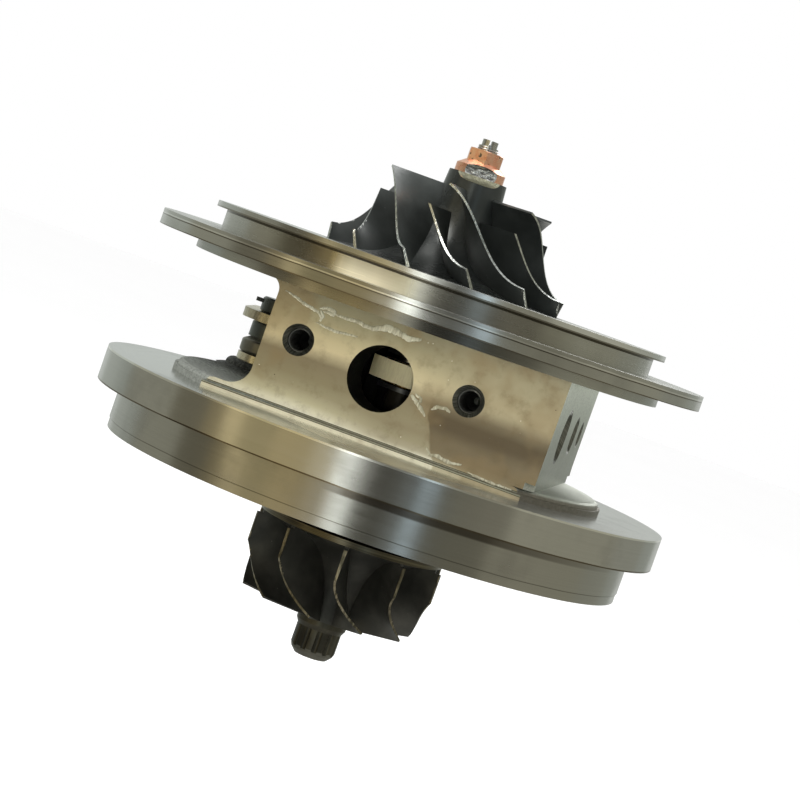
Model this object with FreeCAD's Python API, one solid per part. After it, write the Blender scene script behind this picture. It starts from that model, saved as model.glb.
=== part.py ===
import FreeCAD, Part
import math
import os

V = FreeCAD.Vector

# Turbocharger cartridge, millimetres. The rotor turns about Z and +Z points to the compressor.
# Z is zero on the face of the turbine flange that seats on the turbine housing.
# The oil drain face looks along -Y and the oil feed face along +X.

# Turbine flange of the bearing housing
flange_radius = 64.3
flange_thickness = 7.35
pilot_radius = 59.1
pilot_length = 7.35
lip_step = 0.2
lip_height = 2.0
boss_radius = 49.5
boss_height = 2.45
boss_turning_reach = 1.5
boss_ledge_width = 0.6
boss_ledge_height = 1.2
boss_rounding = 1.0
boss_rounding_bulge = 0.3

# Cast body between the flanges
body_height = 24.1
drain_face_y = -34.35
feed_face_x = 37.8
body_left_x = -26.35
body_back_y = 37.0
machining_allowance = 6.0
body_corner_radius = 11.0
body_foot_fillet = 4.6
drain_groove_width = 0.35
drain_groove_depth = 0.3
body_head_fillet = 2.8
step_radius = 53.4
step_thickness = 2.25

# Compressor backplate
plate_flange_radius = 62.5
plate_flange_thickness = 3.3
groove_radius = 49.5
groove_width = 4.2
rim_radius = 51.9
rim_thickness = 1.3
wheel_pocket_depth = 1.4
wheel_pocket_gap = 0.6
plate_spigot_length = 4.5
spigot_clearance = 0.03
seal_ring_section = 1.4
seal_ring_groove_width = 2.0
seal_ring_room = 0.05
seal_ring_land = 0.5
flinger_room_radius = 9.0
flinger_room_depth = 1.7
seal_bore_radius = 6.5

# Countersunk screws of the backplate
screw_count = 4
screw_circle_radius = 21.5
screw_radius = 2.0
screw_head_radius = 4.0
screw_head_height = 2.2
screw_reach = 9.0
screw_hole_clearance = 0.03
screw_hole_spare = 2.0
screw_first_angle = 20.0
screw_key_radius = 1.2
screw_key_depth = 1.2

# Bearing bore, thrust chamber and drain cavity
bearing_bore_radius = 6.1
barrel_radius = 9.3
barrel_bottom_z = -1.0
barrel_top_z = 24.65
chamber_radius = 16.0
throat_radius = 11.5
cavity_radius = 19.0
cavity_from_angle = -80.0
cavity_to_angle = 42.0
window_from_angle = -55.0
window_from_z = 9.5
window_to_z = 20.0
slinger_room_radius = 13.0
slinger_room_bottom_z = -5.0

# Oil drain and its two tapped holes
drain_radius = 7.0
drain_z = 21.2
drain_stop_gap = 2.0
drain_screw_spacing = 38.0
drain_screw_z = 23.05
m6_core_radius = 2.5
m6_chamfer_radius = 3.4
drain_screw_depth = 13.0

# Oil feed and the two tapped holes beside it
feed_y = -11.4
feed_z = 21.6
feed_core_radius = 5.25
feed_chamfer_radius = 6.2
feed_depth = 13.5
m8_y = 10.7
m8_core_radius = 3.4
m8_chamfer_radius = 4.5
m8_depth = 14.0
feed_m6_y = 25.0
feed_m6_chamfer_radius = 3.1
feed_m6_depth = 11.0
oilway_radius = 1.5
oilway_overrun = 0.5
drill_point_share = 0.3

# Thrust bearing, its pins and the oil deflector
thrust_bearing_thickness = 2.5
thrust_bearing_hole_clearance = 0.1
chamber_fit_clearance = 0.05
thrust_notch_width = 14.0
thrust_notch_radius = 8.6
thrust_groove_count = 6
thrust_groove_width = 1.0
thrust_groove_depth = 0.3
thrust_groove_first_angle = 30.0
thrust_pin_radius = 1.5
thrust_pin_circle_radius = 13.4
thrust_pin_depth = 3.0
thrust_pin_clearance = 0.01
thrust_pin_angles = (110.0, 220.0)
deflector_thickness = 1.0
deflector_hole_gap = 1.2
spout_width = 9.0
spout_length = 5.5
spout_gap = 0.3

# Rotor shaft, sleeve and collar
journal_radius = 3.75
journal_relief = 0.25
journal_land = 1.0
stub_radius = 2.5
stub_fit_clearance = 0.02
thread_end_radius = 2.2
tip_radius = 1.76
tip_length = 1.45
thread_end_length = 1.1
tip_slot_width = 0.45
tip_slot_depth = 1.0
shoulder_z = 25.2
seal_hub_radius = 7.5
seal_hub_top_z = -4.4
slinger_radius = 5.4
slinger_height = 2.0
collar_radius = 6.6
thrust_play = 0.05
sleeve_hub_radius = 4.9
sleeve_flange_radius = 7.0
sleeve_flange_thickness = 1.45
running_clearance = 0.05

# Piston rings
piston_ring_thickness = 1.2
piston_ring_width = 0.9
piston_ring_side_play = 0.05
piston_ring_gap = 0.4
piston_ring_wall_gap = 0.02
piston_ring_back_gap = 0.12
compressor_ring_count = 2
compressor_ring_first_z = 36.6
compressor_ring_pitch = 2.6
turbine_ring_z = -9.4
turbine_bore_clearance = 0.08

# Floating journal bearings and their snap rings
journal_bearing_length = 5.4
compressor_bearing_z = 19.4
turbine_bearing_z = 1.5
journal_bearing_hole_radius = 0.8
journal_bearing_hole_count = 6
journal_bearing_chamfer = 0.3
journal_bearing_end_play = 0.1
snap_ring_thickness = 1.0
snap_ring_side_play = 0.06
snap_ring_depth = 0.5
snap_ring_width = 1.6
snap_ring_gap = 3.0

# Compressor wheel and its nut
compressor_blade_count = 6
inducer_radius = 19.2
exducer_radius = 27.3
wheel_back_gap = 0.5
wheel_rim_thickness = 0.95
wheel_outlet_width = 3.6
wheel_inlet_height = 20.45
wheel_nose_radius = 6.6
wheel_nose_height = 3.8
inlet_hub_radius = 6.9
compressor_wrap = 54.5
compressor_outlet_lean = 5.0
compressor_inlet_angle = -7.0
compressor_wrap_start = 0.01
splitter_drop = 5.35
compressor_tip_bend_height = 0.41
compressor_tip_bend_reach = 0.31
compressor_hub_bend_height = 0.35
compressor_hub_bend_reach = 0.3
compressor_hub_rise = 0.02
compressor_root_thickness = 0.75
compressor_tip_thickness = 0.45
compressor_blade_sink = 0.35
nut_flange_radius = 5.6
nut_flange_height = 1.95
nut_cone_height = 1.4
nut_across_flats = 7.4
nut_hex_height = 2.6
nut_bevel_height = 1.0
nut_bevel_width = 0.45
nut_corner_angle = 12.0
balance_cutter_radius = 2.5
balance_cut_depth = 1.3
balance_cut_z_in_nut = 0.95
balance_cut_angle = 12.0

# Turbine wheel
turbine_blade_count = 10
turbine_back_z = -14.3
turbine_back_radius = 21.0
turbine_back_thickness = 1.1
turbine_inlet_radius = 22.3
turbine_inlet_end_z = -22.95
turbine_outlet_radius = 19.5
turbine_outlet_tip_z = -32.75
turbine_outlet_hub_z = -34.9
turbine_hub_radius = 5.9
turbine_hub_bend_share = 0.55
turbine_hub_bend_drop = 1.2
turbine_hub_flare = 0.7
turbine_hub_flare_drop = 6.8
turbine_tip_bend_reach = 0.5
turbine_tip_bend_drop = 0.23
turbine_tip_end_reach = 0.14
turbine_tip_end_drop = 0.57
turbine_wrap = 28.0
turbine_first_angle = 8.5
turbine_root_thickness = 0.85
turbine_tip_thickness = 0.5
turbine_blade_sink = 0.3
turbine_notch = 0.9
drive_collar_height = 1.2
drive_collar_step = 0.2
drive_radius = 5.1
drive_taper_height = 1.1
drive_length = 4.5
drive_end_height = 2.0
drive_end_radius = 3.7
drive_end_bend_width = 0.35
drive_end_bend_height = 0.9
flute_count = 12
flute_radius = 0.75
flute_depth = 0.4
flute_run_out = 0.4

# Heat shield and its recess in the turbine face
shield_recess_radius = 31.5
shield_recess_depth = 3.0
shield_rim_clearance = 0.1
shield_thickness = 0.8
shield_shoulder_radius = 26.0
shield_nose_radius = 19.6
shield_hole_gap = 1.1
shield_wheel_gap = 0.6
shield_bend_width = 0.32
turbine_boss_radius = 14.0
turbine_boss_gap = 0.7

# Dowel that places the nozzle ring
dowel_radius = 2.0
dowel_shank_radius = 2.25
dowel_circle_radius = 46.0
dowel_reach = 4.0
dowel_depth = 5.0
dowel_angle = 170.0
dowel_clearance = 0.01
dowel_chamfer = 0.4

# Vane crank, its bush, lever and link
crank_x = -35.3
crank_y = 20.0
crank_radius = 3.5
crank_running_clearance = 0.04
dome_radius = 9.2
dome_foot_reach = 2.2
dome_foot_height = 0.6
dome_height = 2.2
dome_fillet = 1.5
bush_radius = 5.2
bush_fit_clearance = 0.01
bush_collar_radius = 7.2
bush_collar_height = 1.75
crank_end_play = 0.15
crank_chamfer = 0.4
lever_thickness = 3.2
lever_hub_radius = 7.2
lever_tip_radius = 6.0
lever_length = 15.0
lever_angle = 102.1
lever_edge_fillet = 0.7
lever_fit_clearance = 0.01
inner_arm_thickness = 3.4
inner_arm_hub_radius = 6.5
inner_arm_tip_radius = 3.6
inner_arm_length = 9.5
inner_arm_angle = -29.5
inner_arm_gap = 0.5
finger_radius = 2.6
finger_length = 4.0
link_pin_radius = 3.0
link_pin_shoulder_radius = 6.4
link_pin_shoulder_height = 3.9
link_pin_rivet_radius = 2.4
link_pin_chamfer = 0.5
link_play = 0.08
link_thickness = 2.2
link_near_radius = 9.2
link_far_radius = 5.6
link_far_hole_radius = 3.0
link_length = 21.0
link_angle = 107.0
link_running_clearance = 0.06
pin_collar_radius = 5.8
pin_collar_height = 3.6
pin_collar_clearance = 0.02
pin_collar_chamfer = 0.4
split_pin_radius = 0.5
split_pin_overhang = 1.5
split_pin_angle = 9.0
split_pin_drop = 1.2
split_pin_clearance = 0.02
split_pin_eye_radius = 1.1

# Shared by several pieces
blind_end_room = 0.05
overrun = 1.0
profile_steps = 12

# Heights along the rotor axis that follow from the sizes above
flange_top_z = flange_thickness
pilot_bottom_z = -pilot_length - lip_height
boss_top_z = flange_top_z + boss_height
step_bottom_z = boss_top_z + body_height
housing_top_z = step_bottom_z + step_thickness
plate_flange_top_z = housing_top_z + plate_flange_thickness
groove_top_z = plate_flange_top_z + groove_width
plate_top_z = groove_top_z + rim_thickness
pocket_floor_z = plate_top_z - wheel_pocket_depth
spigot_bottom_z = housing_top_z - plate_spigot_length
chamber_floor_z = spigot_bottom_z - deflector_thickness - thrust_bearing_thickness
thrust_bearing_top_z = chamber_floor_z + thrust_bearing_thickness
collar_top_z = chamber_floor_z - thrust_play
sleeve_flange_bottom_z = thrust_bearing_top_z + thrust_play
wheel_back_z = pocket_floor_z + wheel_back_gap
wheel_outlet_hub_z = wheel_back_z + wheel_rim_thickness
wheel_outlet_tip_z = wheel_outlet_hub_z + wheel_outlet_width
wheel_inlet_z = wheel_back_z + wheel_inlet_height
wheel_nose_z = wheel_inlet_z + wheel_nose_height
nut_hex_bottom_z = wheel_nose_z + nut_flange_height + nut_cone_height
nut_top_z = nut_hex_bottom_z + nut_hex_height
thread_end_z = nut_top_z + thread_end_length
shaft_tip_z = thread_end_z + tip_length
shield_nose_z = turbine_back_z + shield_wheel_gap
recess_floor_z = pilot_bottom_z + shield_recess_depth
turbine_boss_z = shield_nose_z + shield_thickness + turbine_boss_gap
dome_top_z = boss_top_z + dome_height
bush_top_z = dome_top_z + bush_collar_height
lever_bottom_z = bush_top_z + crank_end_play
lever_top_z = lever_bottom_z + lever_thickness
inner_arm_top_z = pilot_bottom_z - inner_arm_gap
inner_arm_bottom_z = inner_arm_top_z - inner_arm_thickness
link_pin_shoulder_z = lever_top_z + link_pin_shoulder_height
link_bottom_z = link_pin_shoulder_z + link_play
link_top_z = link_bottom_z + link_thickness
pin_collar_bottom_z = link_top_z + link_play
pin_collar_top_z = pin_collar_bottom_z + pin_collar_height
split_pin_z = pin_collar_top_z - split_pin_drop

# Radii that follow from the fits
sleeve_radius = seal_bore_radius - running_clearance
turbine_seal_bore_radius = seal_hub_radius + turbine_bore_clearance
snap_groove_radius = bearing_bore_radius + snap_ring_depth


def polar(radius, angle, z=0.0):
    """Point at an angle measured from -Y towards +X, which is anticlockwise seen from +Z."""
    a = math.radians(angle)
    return V(radius * math.sin(a), -radius * math.cos(a), z)


def beside(x, y, radius, angle, z=0.0):
    """Point at a distance from x, y, at an angle from +X towards +Y."""
    a = math.radians(angle)
    return V(x + radius * math.cos(a), y + radius * math.sin(a), z)


def cylinder(radius, bottom, top, x=0.0, y=0.0):
    return Part.makeCylinder(radius, top - bottom, V(x, y, bottom))


def tube(outer, inner, bottom, top, x=0.0, y=0.0):
    return cylinder(outer, bottom, top, x, y).cut(cylinder(inner, bottom, top, x, y))


def revolve(points):
    """Solid of revolution about Z from radius and height pairs."""
    corners = [V(r, 0, z) for r, z in points]
    face = Part.Face(Part.makePolygon(corners + corners[:1]))
    return face.revolve(V(0, 0, 0), V(0, 0, 1), 360)


def sector(outer, inner, from_angle, to_angle, bottom, top):
    """Ring sector between two angles measured from -Y."""
    middle = (from_angle + to_angle) / 2.0
    outer_arc = Part.Arc(polar(outer, from_angle, bottom), polar(outer, middle, bottom),
                         polar(outer, to_angle, bottom)).toShape()
    inner_arc = Part.Arc(polar(inner, to_angle, bottom), polar(inner, middle, bottom),
                         polar(inner, from_angle, bottom)).toShape()
    side_a = Part.makeLine(polar(outer, to_angle, bottom), polar(inner, to_angle, bottom))
    side_b = Part.makeLine(polar(inner, from_angle, bottom), polar(outer, from_angle, bottom))
    face = Part.Face(Part.Wire([outer_arc, side_a, inner_arc, side_b]))
    return face.extrude(V(0, 0, top - bottom))


def arm(x, y, hub_radius, tip_radius, length, angle, bottom, top):
    """Flat arm with two round ends joined by tangent sides."""
    lean = math.degrees(math.acos((hub_radius - tip_radius) / length))
    tip = beside(x, y, length, angle, bottom)
    hub_left = beside(x, y, hub_radius, angle + lean, bottom)
    hub_far = beside(x, y, hub_radius, angle + 180, bottom)
    hub_right = beside(x, y, hub_radius, angle - lean, bottom)
    tip_left = beside(tip.x, tip.y, tip_radius, angle + lean, bottom)
    tip_far = beside(tip.x, tip.y, tip_radius, angle, bottom)
    tip_right = beside(tip.x, tip.y, tip_radius, angle - lean, bottom)
    wire = Part.Wire([
        Part.Arc(hub_left, hub_far, hub_right).toShape(),
        Part.makeLine(hub_right, tip_right),
        Part.Arc(tip_right, tip_far, tip_left).toShape(),
        Part.makeLine(tip_left, hub_left)])
    return Part.Face(wire).extrude(V(0, 0, top - bottom))


def tapped_hole(core, chamfer, depth, mouth, inward):
    """Core of a tapped hole with a chamfered mouth and a drill point."""
    cut = Part.makeCylinder(core, depth, mouth, inward)
    cone = Part.makeCone(chamfer, core, chamfer - core, mouth, inward)
    point = Part.makeCone(core, 0, core * 2 * drill_point_share, mouth + inward * depth, inward)
    return cut.fuse([cone, point])


def split_ring(outer, inner, bottom, thickness, gap, angle):
    """Ring with a gap in it, such as a piston ring or a snap ring."""
    ring = tube(outer, inner, bottom, bottom + thickness)
    slot = Part.makeBox(outer, gap, thickness, V(0, -gap / 2.0, bottom))
    slot.rotate(V(0, 0, 0), V(0, 0, 1), angle)
    return ring.cut(slot)


def bezier(points, t):
    """Point of a cubic curve with four control points of radius and height."""
    s = 1.0 - t
    weights = (s ** 3, 3 * s * s * t, 3 * s * t * t, t ** 3)
    radius = sum(w * p[0] for w, p in zip(weights, points))
    height = sum(w * p[1] for w, p in zip(weights, points))
    return radius, height


def spline(points):
    curve = Part.BSplineCurve()
    curve.interpolate(points)
    return curve.toShape()


def blade(hub_curve, tip_curve, hub_angle, tip_angle, root, tip, sink, stations=11):
    """Twisted blade between a hub curve and a tip curve, with its root sunk into the hub."""
    steps = [i / (stations - 1.0) for i in range(stations)]
    nearby = 0.02

    def camber(t):
        hub_r, hub_z = bezier(hub_curve, t)
        tip_r, tip_z = bezier(tip_curve, t)
        return polar(hub_r, hub_angle(t), hub_z), polar(tip_r, tip_angle(t), tip_z)

    edges = {"hub_left": [], "hub_right": [], "tip_left": [], "tip_right": []}
    for t in steps:
        hub, end = camber(t)
        before_hub, before_end = camber(max(t - nearby, 0.0))
        after_hub, after_end = camber(min(t + nearby, 1.0))
        span = (end - hub).normalize()
        for name, point, run, width in (("hub", hub - span * sink, after_hub - before_hub, root),
                                        ("tip", end, after_end - before_end, tip)):
            normal = run.cross(span).normalize()
            edges[name + "_left"].append(point + normal * (width / 2.0))
            edges[name + "_right"].append(point - normal * (width / 2.0))
    curves = {name: spline(points) for name, points in edges.items()}
    faces = [Part.makeRuledSurface(curves["hub_left"], curves["tip_left"]),
             Part.makeRuledSurface(curves["hub_right"], curves["tip_right"]),
             Part.makeRuledSurface(curves["hub_left"], curves["hub_right"]),
             Part.makeRuledSurface(curves["tip_left"], curves["tip_right"])]
    for end in (0, -1):
        root_edge = Part.makeLine(edges["hub_left"][end], edges["hub_right"][end])
        tip_edge = Part.makeLine(edges["tip_left"][end], edges["tip_right"][end])
        faces.append(Part.makeRuledSurface(root_edge, tip_edge))
    shell = Part.Shell(faces)
    shell.sewShape()
    solid = Part.Solid(shell)
    if solid.Volume < 0:
        solid.reverse()
    return solid


def around(shape, count, first=0.0):
    """Copies of a shape evenly spaced about the rotor axis."""
    copies = []
    for i in range(count):
        copy = shape.copy()
        copy.rotate(V(0, 0, 0), V(0, 0, 1), first + 360.0 * i / count)
        copies.append(copy)
    return copies


def cast_body():
    """Cast column between the flanges, filleted all round and then machined on two sides."""
    left = body_left_x
    right = feed_face_x + machining_allowance
    front = drain_face_y - machining_allowance
    back = body_back_y
    corners = [V(left, front, 0), V(right, front, 0), V(right, back, 0), V(left, back, 0)]
    height = step_bottom_z - flange_top_z
    column = Part.Face(Part.makePolygon(corners + corners[:1])).extrude(V(0, 0, height))
    column.translate(V(0, 0, flange_top_z))
    uprights = []
    for edge in column.Edges:
        centre = edge.CenterOfMass
        if edge.Length > height - 0.01 and abs(edge.Vertexes[0].Z - edge.Vertexes[1].Z) > 1:
            if centre.y > 0:
                uprights.append(edge)
    return column.makeFillet(body_corner_radius, uprights)


def crank_dome():
    """Cast seat of the crank bush, rounded above and flared at its foot."""
    foot = dome_radius + dome_foot_reach
    dome = revolve([(0, flange_top_z), (foot, flange_top_z), (foot, boss_top_z),
                    (dome_radius, boss_top_z + dome_foot_height), (dome_radius, dome_top_z), (0, dome_top_z)])
    rim = [e for e in dome.Edges if e.BoundBox.ZMin > dome_top_z - 0.01 and e.BoundBox.XMax > dome_radius - 0.01]
    dome = dome.makeFillet(dome_fillet, rim)
    dome.translate(V(crank_x, crank_y, 0))
    return dome


def housing_casting():
    """Flanges, boss, column and crank dome as cast and turned, before the bores."""
    column = cast_body()
    spread = 2 * flange_radius
    floor_plate = Part.makeBox(2 * spread, 2 * spread, boss_height, V(-spread, -spread, flange_top_z))
    roof_plate = Part.makeBox(2 * spread, 2 * spread, step_thickness, V(-spread, -spread, step_bottom_z))
    rough = column.fuse([floor_plate, roof_plate])
    feet = [e for e in rough.Edges if abs(e.BoundBox.ZMin - boss_top_z) < 0.01
            and abs(e.BoundBox.ZMax - boss_top_z) < 0.01 and e.BoundBox.DiagonalLength < spread]
    rough = rough.makeFillet(body_foot_fillet, feet)
    heads = [e for e in rough.Edges if abs(e.BoundBox.ZMin - step_bottom_z) < 0.01
             and abs(e.BoundBox.ZMax - step_bottom_z) < 0.01 and e.BoundBox.DiagonalLength < spread]
    rough = rough.makeFillet(body_head_fillet, heads)
    ledge_z = flange_top_z + boss_ledge_height
    shoulder = boss_radius - boss_ledge_width
    turning_top = boss_top_z + boss_turning_reach
    turned = revolve([(0, flange_top_z), (boss_radius, flange_top_z), (boss_radius, ledge_z),
                      (shoulder, ledge_z), (shoulder, boss_top_z - boss_rounding),
                      (shoulder - boss_rounding_bulge, boss_top_z - boss_rounding_bulge),
                      (shoulder - boss_rounding, boss_top_z), (boss_radius, boss_top_z),
                      (boss_radius, turning_top), (step_radius, turning_top),
                      (step_radius, housing_top_z), (0, housing_top_z)])
    rough = rough.common(turned)
    body = rough.fuse(crank_dome().common(turned))
    drain_side = Part.makeBox(2 * spread, spread, step_bottom_z - flange_top_z,
                              V(-spread, drain_face_y - spread, flange_top_z))
    feed_side = Part.makeBox(spread, 2 * spread, step_bottom_z - boss_top_z,
                             V(feed_face_x, -spread, boss_top_z))
    scribed = Part.makeBox(2 * spread, drain_groove_depth, drain_groove_width,
                           V(-spread, drain_face_y, ledge_z - drain_groove_width / 2.0))
    body = body.cut([drain_side, feed_side, scribed])
    turbine_side = revolve([(0, pilot_bottom_z), (pilot_radius - lip_step, pilot_bottom_z),
                            (pilot_radius - lip_step, -pilot_length), (pilot_radius, -pilot_length),
                            (pilot_radius, 0), (flange_radius, 0), (flange_radius, flange_top_z),
                            (0, flange_top_z)])
    return body.fuse(turbine_side)


def housing_bores():
    """Everything turned or cored round the rotor axis, as one group of cuts."""
    below = turbine_boss_z - overrun
    cuts = [cylinder(chamber_radius, chamber_floor_z, housing_top_z + overrun),
            cylinder(throat_radius, barrel_top_z, chamber_floor_z + 0.01),
            cylinder(bearing_bore_radius, barrel_bottom_z - overrun, barrel_top_z + overrun),
            cylinder(slinger_room_radius, slinger_room_bottom_z, barrel_bottom_z),
            cylinder(turbine_seal_bore_radius, below, slinger_room_bottom_z + 0.01),
            sector(cavity_radius, barrel_radius, cavity_from_angle, cavity_to_angle,
                   slinger_room_bottom_z, chamber_floor_z + 0.01),
            sector(barrel_radius + overrun, bearing_bore_radius - overrun, window_from_angle,
                   cavity_to_angle, window_from_z, window_to_z)]
    for z in snap_ring_heights():
        cuts.append(cylinder(snap_groove_radius, z - snap_ring_side_play,
                             z + snap_ring_thickness + snap_ring_side_play))
    return cuts


def drillings():
    """Drain, feed, tapped holes and oilways."""
    front = V(0, drain_face_y, 0)
    inward_y = V(0, 1, 0)
    inward_x = V(-1, 0, 0)
    cuts = [Part.makeCylinder(drain_radius, -drain_face_y - barrel_radius - drain_stop_gap,
                              front + V(0, 0, drain_z), inward_y)]
    for side in (-0.5, 0.5):
        mouth = front + V(side * drain_screw_spacing, 0, drain_screw_z)
        cuts.append(tapped_hole(m6_core_radius, m6_chamfer_radius, drain_screw_depth, mouth, inward_y))
    feed = V(feed_face_x, feed_y, feed_z)
    cuts.append(tapped_hole(feed_core_radius, feed_chamfer_radius, feed_depth, feed, inward_x))
    cuts.append(tapped_hole(m8_core_radius, m8_chamfer_radius, m8_depth,
                            V(feed_face_x, m8_y, feed_z), inward_x))
    cuts.append(tapped_hole(m6_core_radius, feed_m6_chamfer_radius, feed_m6_depth,
                            V(feed_face_x, feed_m6_y, feed_z), inward_x))
    start = feed + inward_x * (feed_depth - oilway_radius)
    angle = math.degrees(math.atan2(start.x, -start.y))
    half_bearing = journal_bearing_length / 2.0
    for radius, z in ((bearing_bore_radius - oilway_overrun, compressor_bearing_z + half_bearing),
                      (bearing_bore_radius - oilway_overrun, turbine_bearing_z + half_bearing),
                      (thrust_pin_circle_radius, chamber_floor_z + oilway_overrun)):
        end = polar(radius, angle, z)
        cuts.append(Part.makeCylinder(oilway_radius, start.distanceToPoint(end), start, end - start))
    return cuts


def screw_places():
    return [polar(screw_circle_radius, screw_first_angle + 360.0 * i / screw_count)
            for i in range(screw_count)]


def bearing_housing():
    body = housing_casting()
    below = pilot_bottom_z - overrun
    recess = tube(shield_recess_radius, turbine_boss_radius, below, recess_floor_z)
    central_boss = cylinder(turbine_boss_radius, turbine_boss_z, pilot_bottom_z + overrun)
    body = body.fuse(central_boss).cut(recess)
    crank_bore = cylinder(bush_radius + bush_fit_clearance, below, dome_top_z + overrun, crank_x, crank_y)
    dowel_place = polar(dowel_circle_radius, dowel_angle)
    dowel_hole = cylinder(dowel_shank_radius + dowel_clearance, below, pilot_bottom_z + dowel_depth,
                          dowel_place.x, dowel_place.y)
    cuts = housing_bores() + drillings() + [crank_bore, dowel_hole]
    for place in screw_places():
        cuts.append(cylinder(screw_radius + screw_hole_clearance,
                             housing_top_z - screw_reach - screw_hole_spare,
                             housing_top_z + overrun, place.x, place.y))
    for angle in thrust_pin_angles:
        place = polar(thrust_pin_circle_radius, angle)
        cuts.append(cylinder(thrust_pin_radius, chamber_floor_z - thrust_pin_depth,
                             chamber_floor_z + overrun, place.x, place.y))
    return body.cut(cuts)


def compressor_backplate():
    spigot = chamber_radius - spigot_clearance
    groove_floor = spigot - seal_ring_section - seal_ring_room
    groove_bottom = seal_groove_bottom()
    groove_top = groove_bottom + seal_ring_groove_width
    pocket = exducer_radius + wheel_pocket_gap
    room_top = spigot_bottom_z + flinger_room_depth
    plate = revolve([
        (seal_bore_radius, room_top), (flinger_room_radius, room_top),
        (flinger_room_radius, spigot_bottom_z), (spigot, spigot_bottom_z),
        (spigot, groove_bottom), (groove_floor, groove_bottom), (groove_floor, groove_top),
        (spigot, groove_top), (spigot, housing_top_z), (plate_flange_radius, housing_top_z),
        (plate_flange_radius, plate_flange_top_z), (groove_radius, plate_flange_top_z),
        (groove_radius, groove_top_z), (rim_radius, groove_top_z), (rim_radius, plate_top_z),
        (pocket, plate_top_z), (pocket, pocket_floor_z), (seal_bore_radius, pocket_floor_z)])
    cuts = []
    for place in screw_places():
        cuts.append(cylinder(screw_radius + screw_hole_clearance, housing_top_z - overrun,
                             pocket_floor_z + overrun, place.x, place.y))
        cuts.append(screw_head(place, screw_hole_clearance))
    return plate.cut(cuts)


def seal_groove_bottom():
    return housing_top_z - seal_ring_groove_width - seal_ring_land


def backplate_seal_ring():
    """Rubber ring in the spigot's groove."""
    half = seal_ring_section / 2.0
    middle = chamber_radius - spigot_clearance - half
    height = seal_groove_bottom() + seal_ring_groove_width / 2.0
    return Part.makeTorus(middle, half, V(0, 0, height))


def screw_head(place, extra):
    bottom = pocket_floor_z - screw_head_height
    return Part.makeCone(screw_radius + extra, screw_head_radius + extra, screw_head_height,
                         V(place.x, place.y, bottom))


def backplate_screws():
    screws = []
    for place in screw_places():
        shank = cylinder(screw_radius, housing_top_z - screw_reach,
                         pocket_floor_z - screw_head_height, place.x, place.y)
        key = cylinder(screw_key_radius, pocket_floor_z - screw_key_depth, pocket_floor_z,
                       place.x, place.y)
        screws.append(shank.fuse(screw_head(place, 0.0)).cut(key).removeSplitter())
    return Part.makeCompound(screws)


def snap_ring_heights():
    """Lower faces of the three snap rings in the bearing bore."""
    return (turbine_bearing_z - journal_bearing_end_play - snap_ring_thickness,
            turbine_bearing_z + journal_bearing_length + journal_bearing_end_play,
            compressor_bearing_z - journal_bearing_end_play - snap_ring_thickness)


def bearing_snap_rings():
    outer = snap_groove_radius - running_clearance
    rings = [split_ring(outer, outer - snap_ring_width, z, snap_ring_thickness, snap_ring_gap, 90.0)
             for z in snap_ring_heights()]
    return Part.makeCompound(rings)


def journal_bearing(bottom):
    """Floating bush with a ring of oil holes."""
    outer = bearing_bore_radius - running_clearance
    inner = journal_radius + running_clearance
    top = bottom + journal_bearing_length
    c = journal_bearing_chamfer
    bush = revolve([(inner + c, bottom), (outer - c, bottom), (outer, bottom + c), (outer, top - c),
                    (outer - c, top), (inner + c, top), (inner, top - c), (inner, bottom + c)])
    hole = Part.makeCylinder(journal_bearing_hole_radius, outer + overrun,
                             V(0, 0, (bottom + top) / 2.0), V(0, 1, 0))
    return bush.cut(around(hole, journal_bearing_hole_count))


def thrust_bearing():
    outer = chamber_radius - chamber_fit_clearance
    hole = sleeve_hub_radius + thrust_bearing_hole_clearance
    plate = tube(outer, hole, chamber_floor_z, thrust_bearing_top_z)
    half = thrust_notch_width / 2.0
    notch = Part.makeBox(thrust_notch_width, outer, thrust_bearing_thickness,
                         V(-half, -thrust_notch_radius - outer, chamber_floor_z))
    groove = Part.makeBox(thrust_groove_width, sleeve_flange_radius, thrust_groove_depth,
                          V(-thrust_groove_width / 2.0, 0, thrust_bearing_top_z - thrust_groove_depth))
    cuts = [notch] + around(groove, thrust_groove_count, thrust_groove_first_angle)
    for angle in thrust_pin_angles:
        place = polar(thrust_pin_circle_radius, angle)
        cuts.append(cylinder(thrust_pin_radius, chamber_floor_z, thrust_bearing_top_z, place.x, place.y))
    return plate.cut(cuts)


def thrust_bearing_pins():
    pins = []
    for angle in thrust_pin_angles:
        place = polar(thrust_pin_circle_radius, angle)
        pins.append(cylinder(thrust_pin_radius - thrust_pin_clearance,
                             chamber_floor_z - thrust_pin_depth + blind_end_room,
                             thrust_bearing_top_z - blind_end_room, place.x, place.y))
    return Part.makeCompound(pins)


def oil_deflector():
    """Washer with a spout that leads the thrust oil down past the bearing barrel."""
    outer = chamber_radius - chamber_fit_clearance
    hole = sleeve_flange_radius + deflector_hole_gap
    washer = tube(outer, hole, thrust_bearing_top_z, spigot_bottom_z)
    spout_y = -thrust_notch_radius - deflector_thickness - spout_gap
    spout = Part.makeBox(spout_width, deflector_thickness, spout_length,
                         V(-spout_width / 2.0, spout_y, spigot_bottom_z - spout_length))
    return washer.fuse(spout).removeSplitter()


def thrust_collar():
    return tube(collar_radius, stub_radius + stub_fit_clearance, shoulder_z, collar_top_z)


def compressor_ring_heights():
    return [compressor_ring_first_z + compressor_ring_pitch * i for i in range(compressor_ring_count)]


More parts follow.
